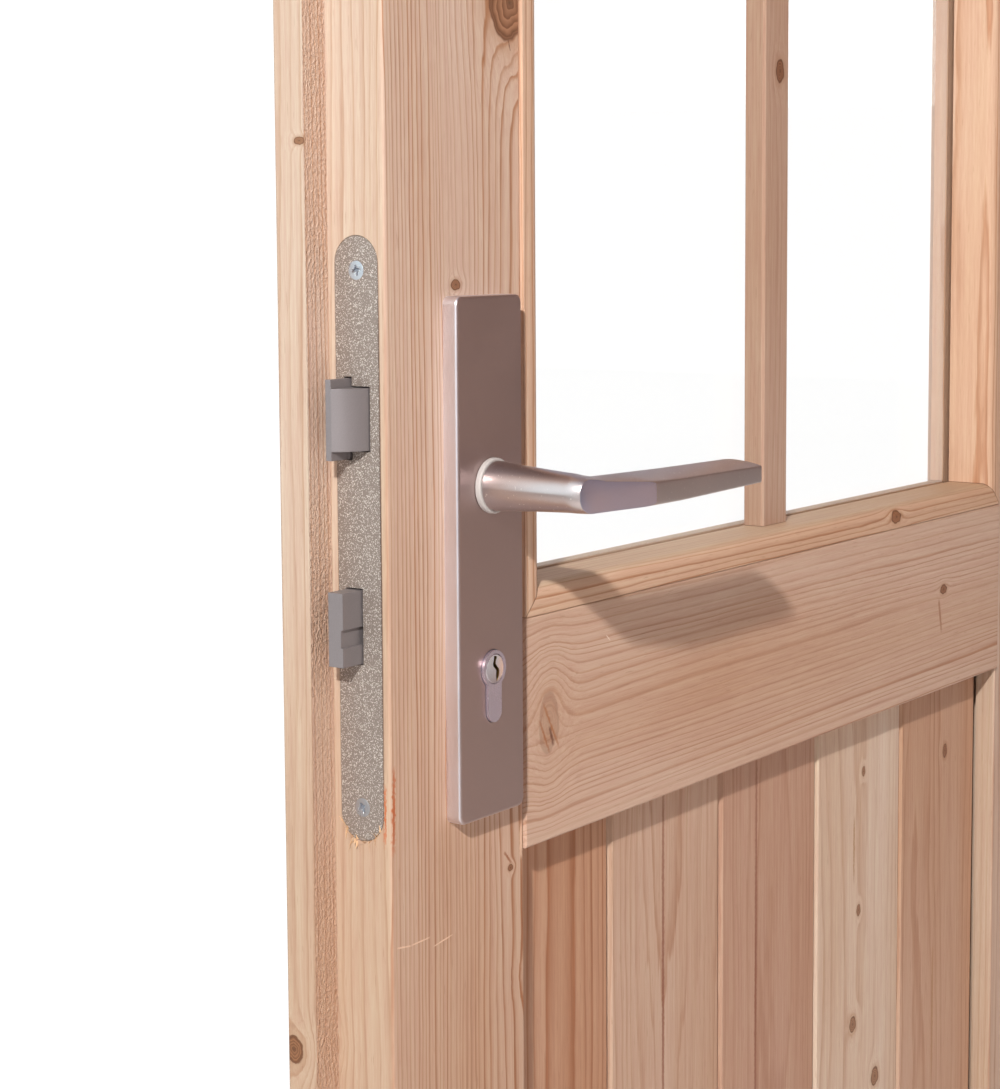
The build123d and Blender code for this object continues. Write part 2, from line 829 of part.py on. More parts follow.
def deadbolt():
    """Rectangular bolt with a shallow notch in its side and a narrower tail."""
    half = bolt_height / 2
    root = latch_block_back
    with BuildPart() as bolt:
        block((-bolt_throw, bolt_near, bolt_z - half), (root, bolt_far, bolt_z + half))
        block((-bolt_throw - 1, bolt_near - 1,
               bolt_z + half - bolt_notch_top - bolt_notch_height),
              (root - 1, bolt_near + bolt_notch_depth, bolt_z + half - bolt_notch_top),
              Mode.SUBTRACT)
        block((root - 1, bolt_near, bolt_z + half - bolt_tail_height),
              (bolt_tail_back, bolt_far, bolt_z + half))
    return bolt


def follower():
    """Hub turned by the spindle, its arm drawing the latch back."""
    width = case_thickness + 2 * hub_proud
    with BuildPart() as hub:
        rod_y(backset, lock_middle - width / 2, spindle_height, hub_radius, width)
        block((backset - arm_radius, lock_middle - arm_width / 2, spindle_height),
              (backset + arm_radius, lock_middle + arm_width / 2, spindle_height + arm_reach))
        rod_y(backset, lock_middle - arm_width / 2, spindle_height + arm_reach, arm_radius,
              arm_width)
        side = spindle_side / 2 + spindle_clearance
        block((backset - side, lock_middle - width, spindle_height - side),
              (backset + side, lock_middle + width, spindle_height + side), Mode.SUBTRACT)
    return hub


def spindle():
    """Square bar through the follower into both levers."""
    side = spindle_side / 2
    reach = plate_thickness + socket_depth - socket_end_gap
    with BuildPart() as bar:
        block((backset - side, -reach, spindle_height - side),
              (backset + side, leaf_thickness + reach, spindle_height + side))
    return bar


def cylinder_body():
    """Profile cylinder: two halves joined by the bridge below the cam."""
    front = -plate_thickness - cylinder_proud
    length = leaf_thickness + 2 * (plate_thickness + cylinder_proud)
    with BuildPart() as body:
        with BuildSketch(along_y(front)):
            cylinder_profile()
        extrude(amount=length)
        rod_y(backset, front - 1, cylinder_z, plug_radius + plug_clearance, length + 2,
              Mode.SUBTRACT)
        block((backset - cylinder_round, lock_middle - cam_slot / 2, cylinder_z - cam_radius - 1),
              (backset + cylinder_round, lock_middle + cam_slot / 2, cylinder_z + cylinder_round),
              Mode.SUBTRACT)
    return body


def cylinder_plug():
    """Turning plug with a keyway at each end and the cam finger in the middle."""
    front = -plate_thickness - cylinder_proud
    length = leaf_thickness + 2 * (plate_thickness + cylinder_proud)
    with BuildPart() as plug:
        rod_y(backset, front, cylinder_z, plug_radius, length)
        block((backset - cam_finger / 2, lock_middle - cam_width / 2, cylinder_z - cam_radius),
              (backset + cam_finger / 2, lock_middle + cam_width / 2, cylinder_z))
        for y in (front, front + length - keyway_depth):
            block((backset - keyway_width / 2, y, cylinder_z - keyway_height / 2),
                  (backset + keyway_width / 2, y + keyway_depth, cylinder_z + keyway_height / 2),
                  Mode.SUBTRACT)
    return plug


# Plates, collars and levers


def handle_plate():
    """Long plate on the inside face: rounded edges, hollow back, two screw posts."""
    with BuildPart() as plate:
        with BuildSketch(along_y(-plate_thickness)):
            with Locations((backset, -plate_middle)):
                RectangleRounded(plate_width, plate_length, plate_corner)
        extrude(amount=plate_thickness)
        fillet(plate.edges().group_by(Axis.Y)[0], plate_edge_round)
        with BuildSketch(along_y(-plate_thickness + plate_wall)):
            with Locations((backset, -plate_middle)):
                RectangleRounded(plate_width - 2 * plate_wall, plate_length - 2 * plate_wall,
                                 plate_corner - plate_wall)
        extrude(amount=plate_thickness, mode=Mode.SUBTRACT)
        for z in plate_screw_heights:
            rod_y(backset, plate_wall - plate_thickness, z, post_radius,
                  plate_thickness - plate_wall + post_depth)
            rod_y(backset, 0, z, screw_radius + screw_clearance, post_depth + 1, Mode.SUBTRACT)
        rod_y(backset, -plate_thickness - 1, spindle_height, shank_radius + shank_clearance,
              plate_thickness, Mode.SUBTRACT)
        with BuildSketch(along_y(-plate_thickness - 1)):
            cylinder_profile(cylinder_clearance)
        extrude(amount=plate_thickness, mode=Mode.SUBTRACT)
    return plate


def outer_plate():
    """The same plate outside, with countersinks for the through screws and no posts."""
    face = leaf_thickness + plate_thickness
    with BuildPart() as plate:
        with BuildSketch(along_y(leaf_thickness)):
            with Locations((backset, -plate_middle)):
                RectangleRounded(plate_width, plate_length, plate_corner)
        extrude(amount=plate_thickness)
        fillet(plate.edges().group_by(Axis.Y)[-1], plate_edge_round)
        with BuildSketch(along_y(leaf_thickness)):
            with Locations((backset, -plate_middle)):
                RectangleRounded(plate_width - 2 * plate_wall, plate_length - 2 * plate_wall,
                                 plate_corner - plate_wall)
        extrude(amount=plate_thickness - plate_wall, mode=Mode.SUBTRACT)
        for z in plate_screw_heights:
            rod_y(backset, leaf_thickness, z, screw_head_radius + plate_wall,
                  plate_thickness - 1)
            rod_y(backset, leaf_thickness - 1, z, screw_radius + screw_clearance,
                  plate_thickness + 2, Mode.SUBTRACT)
            rod_y(backset, face - screw_head_height, z, screw_head_radius,
                  screw_head_height + 1, Mode.SUBTRACT)
        rod_y(backset, leaf_thickness - 1, spindle_height, shank_radius + shank_clearance,
              plate_thickness + 2, Mode.SUBTRACT)
        with BuildSketch(along_y(leaf_thickness - 1)):
            cylinder_profile(cylinder_clearance)
        extrude(amount=plate_thickness + 2, mode=Mode.SUBTRACT)
    return plate


def plate_screws():
    """Machine screws from the outside plate into the posts of the inside one."""
    face = leaf_thickness + plate_thickness
    tip = post_depth - screw_grip
    with BuildPart() as screws:
        for z in plate_screw_heights:
            rod_y(backset, tip, z, screw_radius, face - screw_head_height - tip)
            rod_y(backset, face - screw_head_height, z, screw_head_radius, screw_head_height)
    return screws


def lever_collars():
    """White bushes on the two plates round the levers' necks."""
    faces = (-plate_thickness - collar_height, leaf_thickness + plate_thickness)
    with BuildPart() as collars:
        for y in faces:
            rod_y(backset, y, spindle_height, collar_radius, collar_height)
        fillet(collars.edges().filter_by(GeomType.CIRCLE), collar_edge_round)
        for y in faces:
            rod_y(backset, y - 1, spindle_height, shank_radius + shank_clearance,
                  collar_height + 2, Mode.SUBTRACT)
    return collars


def lever_plane(turn, beyond=0.0):
    """Plane across the lever, some degrees round its bend or some way along its grip."""
    angle = radians(turn)
    x = backset + lever_bend * (1 - cos(angle)) + beyond
    y = -lever_axis + lever_bend * (1 - sin(angle))
    return Plane(origin=(x, y, spindle_height), x_dir=(cos(angle), sin(angle), 0),
                 z_dir=(sin(angle), -cos(angle), 0))


def lever_section(plane, back, front, foot, front_ridge, back_ridge, rounding):
    """Outline of the lever: upright front face, top that rises to the back."""
    with BuildSketch(plane) as section:
        with BuildLine():
            Polyline((back, foot), (-front, foot), (-front, front_ridge), (back, back_ridge),
                     close=True)
        make_face()
        fillet(section.vertices(), rounding)
    return section.sketch


def neck_circle(reach, radius, sag=0.0):
    """Round section of the lever's neck, square to the plate."""
    with BuildSketch(Plane(origin=(backset, -reach, spindle_height - sag), z_dir=(0, -1, 0))) as ring:
        Circle(radius)
    return ring.sketch


def lever():
    """Inside lever: conical neck bent into a cut-faced grip that runs towards the hinges."""
    root = plate_thickness + lever_gap
    neck = root + collar_height
    tip = backset + lever_reach
    full = neck_tip_radius
    elbow_start = (full, full, -full - neck_sag, full - neck_sag, full - neck_sag,
                   full * neck_squareness)
    elbow = []
    for step in range(elbow_steps + 1):
        share = step / elbow_steps
        sizes = [a + (b - a) * share for a, b in zip(elbow_start, grip_root)]
        elbow.append(lever_section(lever_plane(90 * share), *sizes))
    middle = lever_section(lever_plane(90, grip_middle_reach), *grip_middle)
    with BuildPart() as handle:
        loft(elbow)
        loft([elbow[-1], middle], ruled=True)
        loft([middle, lever_section(lever_plane(90, lever_reach - lever_bend), *grip_end)],
             ruled=True)
        loft([neck_circle(neck, neck_root_radius),
              neck_circle(neck + neck_middle_reach, neck_middle_radius, neck_sag / 2),
              neck_circle(lever_axis - lever_bend, full, neck_sag)])
        rod_y(backset, -neck - 1, spindle_height, shank_radius, neck + 1 - root)
        with BuildSketch(Plane.XY.offset(spindle_height - 2 * full)):
            start = (backset + facet_start[0], -facet_start[1])
            end = (backset + facet_end, -lever_front)
            slope = (end[1] - start[1]) / (end[0] - start[0])
            with BuildLine():
                Polyline(end, (end[0], end[1] - full), (start[0] - full, end[1] - full),
                         (start[0] - full, start[1] - slope * full), close=True)
            make_face()
            with Locations((tip - grip_tip_round / 2, -lever_back - grip_tip_round / 2)):
                Rectangle(grip_tip_round, grip_tip_round)
            with Locations((tip - grip_tip_round, -lever_back - grip_tip_round)):
                Circle(grip_tip_round, mode=Mode.SUBTRACT)
        extrude(amount=4 * full, mode=Mode.SUBTRACT)
        side = spindle_side / 2 + spindle_clearance
        block((backset - side, -root - socket_depth, spindle_height - side),
              (backset + side, -root + 1, spindle_height + side), Mode.SUBTRACT)
    return handle


# Strike and slide bolts of the passive leaf


def strike_plate():
    """Plate in the passive leaf's edge, open where the latch and the deadbolt enter."""
    with BuildPart() as plate:
        with BuildSketch(along_x(0)):
            with Locations((lock_middle, forend_middle)):
                SlotOverall(forend_length - 2 * forend_seat, forend_width - 2 * forend_seat,
                            rotation=90)
        extrude(amount=forend_thickness)
        for low, high in strike_openings:
            block((-1, low[0], low[1]), (forend_thickness + 1, high[0], high[1]), Mode.SUBTRACT)
        for z in forend_screw_heights:
            rod_x(-1, lock_middle, z, wood_screw_radius, forend_thickness + 2, Mode.SUBTRACT)
            rod_x(-1, lock_middle, z, wood_screw_head, wood_screw_recess + 1, Mode.SUBTRACT)
    return plate


def slide_guides():
    """Base plates with two guides each, for the rods above and below."""
    x = stile_width / 2
    with BuildPart() as guides:
        for low in (slide_plate_inset, leaf_height - slide_plate_length - slide_plate_inset):
            block((x - slide_plate_width / 2, -slide_plate_thickness, low),
                  (x + slide_plate_width / 2, 0, low + slide_plate_length))
            for z in (low + slide_guide_inset,
                      low + slide_plate_length - slide_guide_inset - slide_guide_height):
                block((x - slide_guide_width / 2, -slide_plate_thickness - slide_guide_depth, z),
                      (x + slide_guide_width / 2, -slide_plate_thickness,
                       z + slide_guide_height))
                rod_z(x, -slide_rod_stand, z - 1, slide_rod_radius + slide_clearance,
                      slide_guide_height + 2, Mode.SUBTRACT)
    return guides


def slide_rod(upper):
    """Round rod with a knob, drawn back clear of the frame."""
    x = stile_width / 2
    low = leaf_height - slide_end_gap - slide_rod_length if upper else slide_end_gap
    knob = low + slide_rod_length / 2 + (-slide_travel if upper else slide_travel) / 2
    with BuildPart() as rod:
        rod_z(x, -slide_rod_stand, low, slide_rod_radius, slide_rod_length)
        chamfer(rod.edges().filter_by(GeomType.CIRCLE), slide_rod_chamfer)
        rod_y(x, -slide_rod_stand - slide_knob_length, knob, slide_knob_radius,
              slide_knob_length)
    return rod


# The whole door
for side, leaf_name in ((-1, "active"), (1, "passive")):
    write(frame_jamb(side), f"frame_jamb_{leaf_name}")
    write(hinge_posts(side), f"hinge_posts_{leaf_name}")
write(frame_head(), "frame_head")
write(sill(), "threshold")
write(bolt_keepers(), "bolt_keepers")
write(frame_screws(), "frame_screws")

rails = {
    "top_rail": rail(top_rail_bottom, leaf_height, rail_tenons[2], lip=lip_width).part,
    "mid_rail": rail(mid_rail_bottom, mid_rail_top, rail_tenons[1], mid_rail_bottom).part,
    "bottom_rail": rail(0, bottom_rail_height, rail_tenons[0], bottom_rail_height).part,
}
shared = {
    "hinge_stile": hinge_stile().part,
    "glass_pane": glass_pane().part,
    "inside_beads": bead_frame(-rail_proud, glass_plane, inside_bead_edge).part,
    "outside_beads": bead_frame(glass_plane + glass_thickness,
                                glass_plane + glass_thickness + outer_bead_depth,
                                outside_bead_edge).part,
    "muntin_upright": muntin_upright().part,
    "muntin_cross": muntin_cross().part,
    "hinge_knuckles": hinge_knuckles().part,
    "edge_screws": edge_screws().part,
    **rails,
    **{f"board_{n + 1}": board(n).part for n in range(board_count)},
}
for name, shape in shared.items():
    hang_active(shape, f"active_{name}")
    hang_passive(shape, f"passive_{name}")

hang_active(lock_stile().part, "active_lock_stile")
hang_active(forend().part, "lock_forend")
hang_active(lock_case().part, "lock_case")
hang_active(latch().part, "latch")
hang_active(deadbolt().part, "deadbolt")
hang_active(follower().part, "lock_follower")
hang_active(spindle().part, "lever_spindle")
hang_active(cylinder_body().part, "cylinder_body")
hang_active(cylinder_plug().part, "cylinder_plug")
hang_active(handle_plate().part, "inside_plate")
hang_active(outer_plate().part, "outside_plate")
hang_active(plate_screws().part, "plate_screws")
hang_active(lever_collars().part, "lever_collars")
inside_lever = lever().part
hang_active(inside_lever, "inside_lever")
with BuildPart() as outside_lever:
    mirror(inside_lever, about=Plane.XZ.offset(-leaf_thickness / 2))
hang_active(outside_lever.part, "outside_lever")

hang_passive(meeting_stile().part, "passive_meeting_stile")
hang_passive(strike_plate().part, "strike_plate")
hang_passive(slide_guides().part, "slide_guides")
hang_passive(slide_rod(True).part, "slide_bolt_top")
hang_passive(slide_rod(False).part, "slide_bolt_bottom")
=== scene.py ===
"""Looks of a half-glazed spruce double door: timber, glass, lock, levers, stage and camera.

Blender's own lengths are metres. Places in the timber and on the leaf's drawing are millimetres:
a leaf point (x, y, z) is measured from the meeting edge, the inside face and the spindle's height.
"""
import functools
import math
import random

import bmesh
import bpy
from bpy.props import FloatProperty, FloatVectorProperty, PointerProperty
from mathutils import Matrix, Vector


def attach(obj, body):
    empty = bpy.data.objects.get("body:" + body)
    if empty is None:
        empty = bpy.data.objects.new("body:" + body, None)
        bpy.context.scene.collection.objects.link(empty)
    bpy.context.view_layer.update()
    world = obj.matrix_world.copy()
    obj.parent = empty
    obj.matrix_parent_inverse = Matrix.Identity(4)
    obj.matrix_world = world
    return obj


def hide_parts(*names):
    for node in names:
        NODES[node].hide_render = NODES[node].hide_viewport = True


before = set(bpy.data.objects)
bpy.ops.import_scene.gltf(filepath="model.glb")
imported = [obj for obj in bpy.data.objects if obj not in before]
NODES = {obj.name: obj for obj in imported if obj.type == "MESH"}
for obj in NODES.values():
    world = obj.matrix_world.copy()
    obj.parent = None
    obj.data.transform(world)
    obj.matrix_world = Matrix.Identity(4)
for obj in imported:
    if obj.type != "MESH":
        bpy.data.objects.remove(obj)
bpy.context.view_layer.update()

bl_info = {
    "name": "Half-glazed double door",
    "version": (1, 0, 0),
    "blender": (4, 5, 0),
    "location": "View3D > Sidebar > Door",
    "description": "Dresses a timber double door with grain, glass, lock and levers",
    "category": "Object",
}

MM = 0.001

# Faces of the open leaf in the row frame, and places on its drawing
STILE_FACE = -724.5
RAIL_FACE = -722.7
BOARD_FACE = -737.5
BAR_FACE = -740.5
MEETING_EDGE = -816.5
LIP_EDGE = -831.5
SPINDLE_HEIGHT = 1005.0
LEAF_MIDDLE = 24.0
BACKSET = 65.0
GLASS_LOW = 939.0
GLASS_HIGH = 1727.0

# Faces of the shut leaf and of the frame in the row frame, inner and outer
SHUT_STILE = (-15, -63)
SHUT_RAIL = -13
SHUT_BOARD = (-28, -47)
FIRST_BOARD = 140
BOARD_STEP = 111
FRAME_FACES = (45, -45)
JAMB_MIDDLE = 772
JAMB_REVEAL = 744


def leaf_point(x, y, z):
    """Row place, in metres, of a point on the open leaf's drawing."""
    return Vector((STILE_FACE - y, MEETING_EDGE + x, SPINDLE_HEIGHT + z)) * MM


SPINDLE = leaf_point(BACKSET, LEAF_MIDDLE, 0.0)
CAMERA_PLACE = Vector((-0.1164, -1.5689, 1.1176))
CAMERA_SHIFT = -0.09
SENSOR_WIDTH = 36.0
KEY_PLACE = SPINDLE + Vector((0.391, -0.774, 0.498)) * 3.02
KEY_SIZE = 0.10
FILL_PLACE = Vector((-2.6, 3.4, 2.2))
FILL_SIZE = 1.6


# Shader building


class Graph:
    """Adds nodes to a shader tree and joins them."""

    def __init__(self, tree):
        self.nodes = tree.nodes
        self.links = tree.links

    def put(self, socket, value):
        if isinstance(value, bpy.types.NodeSocket):
            self.links.new(value, socket)
        elif value is not None:
            socket.default_value = value

    def set(self, shader, **values):
        """Fill a shader's own sockets, constant values straight on them."""
        for key, value in values.items():
            self.put(shader.inputs[key.replace("_", " ")], value)

    def node(self, kind, inputs=None, **props):
        made = self.nodes.new(kind)
        for key, value in props.items():
            setattr(made, key, value)
        for key, value in (inputs or {}).items():
            self.put(made.inputs[key], value)
        return made

    def math(self, operation, a, b=None, c=None, clamp=False):
        made = self.node("ShaderNodeMath", {0: a, 1: b, 2: c}, operation=operation, use_clamp=clamp)
        return made.outputs[0]

    def plus(self, a, b, clamp=False):
        return self.math("ADD", a, b, clamp=clamp)

    def minus(self, a, b):
        return self.math("SUBTRACT", a, b)

    def times(self, a, b, clamp=False):
        return self.math("MULTIPLY", a, b, clamp=clamp)

    def vector(self, operation, a, b=None, scale=None):
        inputs = {0: a, 1: b}
        if scale is not None:
            inputs["Scale"] = scale
        made = self.node("ShaderNodeVectorMath", inputs, operation=operation)
        return made.outputs["Value" if operation in ("LENGTH", "DOT_PRODUCT") else 0]

    def split(self, vector):
        return self.node("ShaderNodeSeparateXYZ", {0: vector}).outputs

    def join(self, x, y, z):
        return self.node("ShaderNodeCombineXYZ", {0: x, 1: y, 2: z}).outputs[0]

    def noise(self, vector, scale=1.0, detail=2.0, roughness=0.5):
        made = self.node("ShaderNodeTexNoise", {"Vector": vector, "Scale": scale, "Detail": detail,
                                                "Roughness": roughness})
        return made.outputs[0]

    def ramp(self, value, stops):
        made = self.node("ShaderNodeValToRGB", {0: value})
        parts = made.color_ramp.elements
        while len(parts) < len(stops):
            parts.new(0.5)
        for part, (place, shade) in zip(parts, stops):
            part.position = place
            part.color = (*shade, 1) if isinstance(shade, tuple) else (shade, shade, shade, 1)
        return made.outputs[0]

    def mix(self, factor, a, b, blend="MIX"):
        made = self.node("ShaderNodeMix", data_type="RGBA", blend_type=blend)
        for socket, value in ((0, factor), (6, a), (7, b)):
            if isinstance(value, tuple):
                value = (*value, 1.0)
            self.put(made.inputs[socket], value)
        return made.outputs[2]

    def span(self, value, low, high, to_low=0.0, to_high=1.0, smooth=False):
        made = self.node("ShaderNodeMapRange", {0: value, 1: low, 2: high, 3: to_low, 4: to_high},
                         interpolation_type="SMOOTHSTEP" if smooth else "LINEAR")
        return made.outputs[0]

    def group(self, tree, **inputs):
        return self.node("ShaderNodeGroup", inputs, node_tree=tree).outputs

    def place_mm(self):
        """Object place in millimetres, which is the row frame at rest."""
        place = self.node("ShaderNodeTexCoord").outputs["Object"]
        return self.vector("SCALE", place, scale=1 / MM)

    def facing(self):
        """How far the surface faces along each axis."""
        return self.split(self.node("ShaderNodeTexCoord").outputs["Normal"])

    def rounded(self, radius, height, strength, distance):
        """Normal of a relief, over edges that look rounded by a radius in metres."""
        edge = self.node("ShaderNodeBevel", {"Radius": radius}, samples=2).outputs[0]
        return self.node("ShaderNodeBump", {"Height": height, "Strength": strength,
                                            "Distance": distance, "Normal": edge}).outputs[0]

    def blend(self, factor, first, second):
        """A shader node that goes over from one to another."""
        return self.node("ShaderNodeMixShader", {0: factor, 1: first.outputs[0], 2: second.outputs[0]})

    def seen(self):
        """1 for what is looked at, through glass too, and 0 for what only lights or is mirrored."""
        path = self.node("ShaderNodeLightPath").outputs
        return self.math("MAXIMUM", path["Is Camera Ray"], path["Is Transmission Ray"])


def new_group(name, inputs, outputs):
    """An empty node group with its sockets, and a graph to fill it."""
    tree = bpy.data.node_groups.new(name, "ShaderNodeTree")
    for way, sockets in (("INPUT", inputs), ("OUTPUT", outputs)):
        for label, kind in sockets.items():
            tree.interface.new_socket(label, in_out=way, socket_type=f"NodeSocket{kind}")
    graph = Graph(tree)
    source = graph.nodes.new("NodeGroupInput").outputs
    target = graph.nodes.new("NodeGroupOutput").inputs
    return tree, graph, source, target


def new_material(name):
    """A material with its shader node, and a graph to fill it."""
    material = bpy.data.materials.new(name)
    material.use_nodes = True
    return material, Graph(material.node_tree), material.node_tree.nodes["Principled BSDF"]


# Timber


@functools.cache
def knot_group():
    """Distance from a branch through the wood, in knot radii, and how it bends the grain."""
    tree, graph, source, target = new_group(
        "knot",
        {"Place": "Vector", "Centre": "Vector", "Along": "Vector", "Across": "Vector",
         "Radius": "Float", "Before": "Float", "Show": "Float", "Shown": "Float", "Shift": "Vector",
         "Stretch": "Vector"},
        {"Distance": "Float", "Shift": "Vector", "Shown": "Float"})
    along, across, radius = source["Along"], source["Across"], source["Radius"]
    away = graph.vector("SUBTRACT", source["Place"], source["Centre"])
    depth = graph.vector("DOT_PRODUCT", away, along)
    side = graph.vector("SUBTRACT", away, graph.vector("SCALE", along, scale=depth))
    side = graph.vector("MULTIPLY", side, source["Stretch"])
    distance = graph.math("DIVIDE", graph.vector("LENGTH", side), radius)
    wobble = graph.noise(graph.vector("SCALE", away, scale=graph.math("DIVIDE", 1.3, radius)))
    distance = graph.plus(distance, graph.span(wobble, 0.25, 0.75, -0.11, 0.11))

    fall = graph.math("EXPONENT", graph.times(graph.times(distance, distance), -0.30))
    aside = graph.times(graph.vector("DOT_PRODUCT", away, across), fall)
    bulge = graph.times(fall, radius)
    shift = graph.vector("SUBTRACT", source["Shift"],
                         graph.vector("SCALE", across, scale=graph.times(aside, 0.72)))
    shift = graph.vector("ADD", shift, graph.vector("SCALE", along, scale=graph.times(bulge, 0.75)))

    nearer = graph.math("LESS_THAN", distance, source["Before"])
    change = graph.minus(source["Show"], source["Shown"])
    graph.put(target["Distance"], graph.math("MINIMUM", source["Before"], distance))
    graph.put(target["Shift"], shift)
    graph.put(target["Shown"], graph.math("MULTIPLY_ADD", nearer, change, source["Shown"]))
    return tree


@functools.cache
def spruce_group():
    """Planed spruce from a place in the log: rings, fibres, resin flecks and knots."""
    tree, graph, source, target = new_group(
        "spruce",
        {"Place": "Vector", "Seed": "Float", "Ring": "Float", "Contrast": "Float", "Tone": "Float",
         "Wobble": "Float", "Knot": "Float", "Shown": "Float", "Pale": "Color", "Deep": "Color",
         "Late": "Color"},
        {"Color": "Color", "Roughness": "Float", "Height": "Float"})
    shift = graph.join(*(graph.times(source["Seed"], step) for step in (131.7, 77.3, 211.9)))
    away = graph.vector("ADD", source["Place"], shift)
    x, y, _ = graph.split(source["Place"])

    def stretched(across, along):
        return graph.vector("MULTIPLY", away, (1 / across, 1 / across, 1 / along))

    # Distance from the pith, made uneven by slow, quick and trembling waves
    radius = graph.math("SQRT", graph.plus(graph.times(x, x), graph.times(y, y)))
    slow = graph.minus(graph.noise(stretched(70, 620)), 0.5)
    radius = graph.plus(radius, graph.times(slow, graph.times(source["Wobble"], 2.0)))
    for across, along, detail, reach in ((16, 150, 2.0, 1.3), (3, 28, 1.0, 0.32)):
        wave = graph.noise(stretched(across, along), detail=detail)
        radius = graph.plus(radius, graph.span(wave, 0.0, 1.0, -reach, reach))

    # Years of unequal width and strength, each with a dark line at its end
    years = graph.math("DIVIDE", radius, source["Ring"])
    weather = graph.join(graph.plus(graph.times(years, 0.31), source["Seed"]), 0.0, 0.0)
    years = graph.plus(years, graph.span(graph.noise(weather, detail=1.0), 0.0, 1.0, -1.3, 1.3))
    late = graph.ramp(graph.math("FRACT", years), [
        (0.0, 0.0), (0.42, 0.06), (0.66, 0.26), (0.82, 0.80), (0.90, 1.0), (0.945, 0.62), (1.0, 0.0)])
    year = graph.math("FLOOR", years)
    lot = graph.node("ShaderNodeTexWhiteNoise", {"W": graph.plus(year, source["Seed"])},
                     noise_dimensions="1D").outputs["Value"]
    patch = graph.noise(stretched(40, 420), detail=1.0)
    strength = graph.times(graph.span(lot, 0.0, 1.0, 0.42, 1.0),
                           graph.span(patch, 0.34, 0.62, 0.55, 1.15))
    late = graph.times(late, strength)

    # Wood colour: broad patches, year lines, fibres, threads and resin flecks
    fibre = graph.noise(stretched(0.42, 14), detail=3.0, roughness=0.6)
    thread = graph.noise(stretched(1.6, 70))
    fleck = graph.ramp(graph.noise(stretched(0.9, 12), detail=1.0), [(0.0, 0.0), (0.68, 0.0), (0.75, 1.0)])
    broad = graph.noise(stretched(60, 380))
    tone = graph.plus(graph.span(broad, 0.3, 0.7, -0.1, 0.75), source["Tone"], clamp=True)
    color = graph.mix(tone, source["Pale"], source["Deep"])
    color = graph.mix(graph.times(late, source["Contrast"], clamp=True), color, source["Late"])
    color = graph.mix(0.55, color, graph.ramp(fibre, [(0.28, 0.40), (0.72, 0.60)]), "OVERLAY")
    color = graph.mix(0.45, color, graph.ramp(thread, [(0.3, 0.40), (0.7, 0.60)]), "OVERLAY")
    color = graph.mix(graph.times(fleck, 0.26), color, (0.36, 0.17, 0.085))

    # Knot colour: its own rings, a dark heart, a bark rim, and a halo in the wood round it
    ring = graph.math("FRACT", graph.times(source["Knot"], 4.6))
    knot = graph.mix(graph.ramp(ring, [(0.0, 0.1), (0.62, 0.7), (0.86, 1.0), (1.0, 0.15)]),
                     (0.46, 0.225, 0.12), (0.21, 0.085, 0.042))
    heart = graph.ramp(source["Knot"], [(0.0, 0.85), (0.16, 0.2), (0.4, 0.0)])
    knot = graph.mix(heart, knot, (0.10, 0.042, 0.022))
    rim = graph.ramp(source["Knot"], [(0.72, 0.0), (0.93, 0.75), (1.0, 0.45)])
    knot = graph.mix(rim, knot, (0.14, 0.055, 0.028))
    halo = graph.times(graph.span(source["Knot"], 1.75, 1.0, 0.0, 0.34, smooth=True), source["Shown"])
    inside = graph.times(graph.span(source["Knot"], 1.05, 0.93, smooth=True), source["Shown"])
    color = graph.mix(halo, color, (0.46, 0.235, 0.12))
    graph.put(target["Color"], graph.mix(inside, color, knot))

    rough = graph.minus(graph.span(fibre, 0.2, 0.8, 0.52, 0.64), graph.times(late, 0.10))
    graph.put(target["Roughness"], graph.minus(rough, graph.times(inside, 0.16)))
    graph.put(target["Height"], graph.times(fibre, 0.7))
    return tree


# Ways a branch points: through the open leaf, through the shut leaf and the frame, or upright
THROUGH_OPEN = (1, 0, 0)
THROUGH_SHUT = (0, 1, 0)
UPRIGHT = (0, 0, 1)

# Of a grain direction: the axes across and along it, its vector, and the axis its narrow edges face
ORDER = {"X": (1, 2, 0), "Y": (0, 2, 1), "Z": (0, 1, 2)}
GRAIN = {"X": Vector((1, 0, 0)), "Y": Vector((0, 1, 0)), "Z": Vector((0, 0, 1))}
EDGE_AXIS = {"X": 2, "Y": 2, "Z": 1}
NO_KNOT = 9.0
# Painted light: the paler, less red colour of narrow edge faces, where the key light falls
EDGE_PAINTED_LIGHT = (0.85, 0.90, 0.88)
EDGE_CONTRAST = 0.55
SEAM_COLOR = (0.20, 0.09, 0.05)
TORN_COLOR = (0.56, 0.33, 0.21)
FOOT_FADE = (1050.0, 780.0)
TIMBER_ROUND = 0.0006
TIMBER_RELIEF = 0.0004


def knot(centre, radius, tall=1.45, show=1.0, way=THROUGH_OPEN):
    """A branch through a place on the surface, drawn out along the grain, that may show faintly."""
    return centre, radius, tall, show, way


def knots_on(face, *rows):
    """Knots on a face of the open leaf, each as y, z, radius and more."""
    return [knot((face, y, z), *rest) for y, z, *rest in rows]


def shut_knots(*places):
    """Knots through the shut leaf or the frame, each as its place and radius."""
    return [knot(place, radius, way=THROUGH_SHUT) for place, radius in places]


def marks_on(face, *rows):
    """Marks on a face of the open leaf: y and z of both ends, width, colour and raggedness."""
    return [((face, y0, z0), (face, y1, z1), *looks) for y0, z0, y1, z1, *looks in rows]


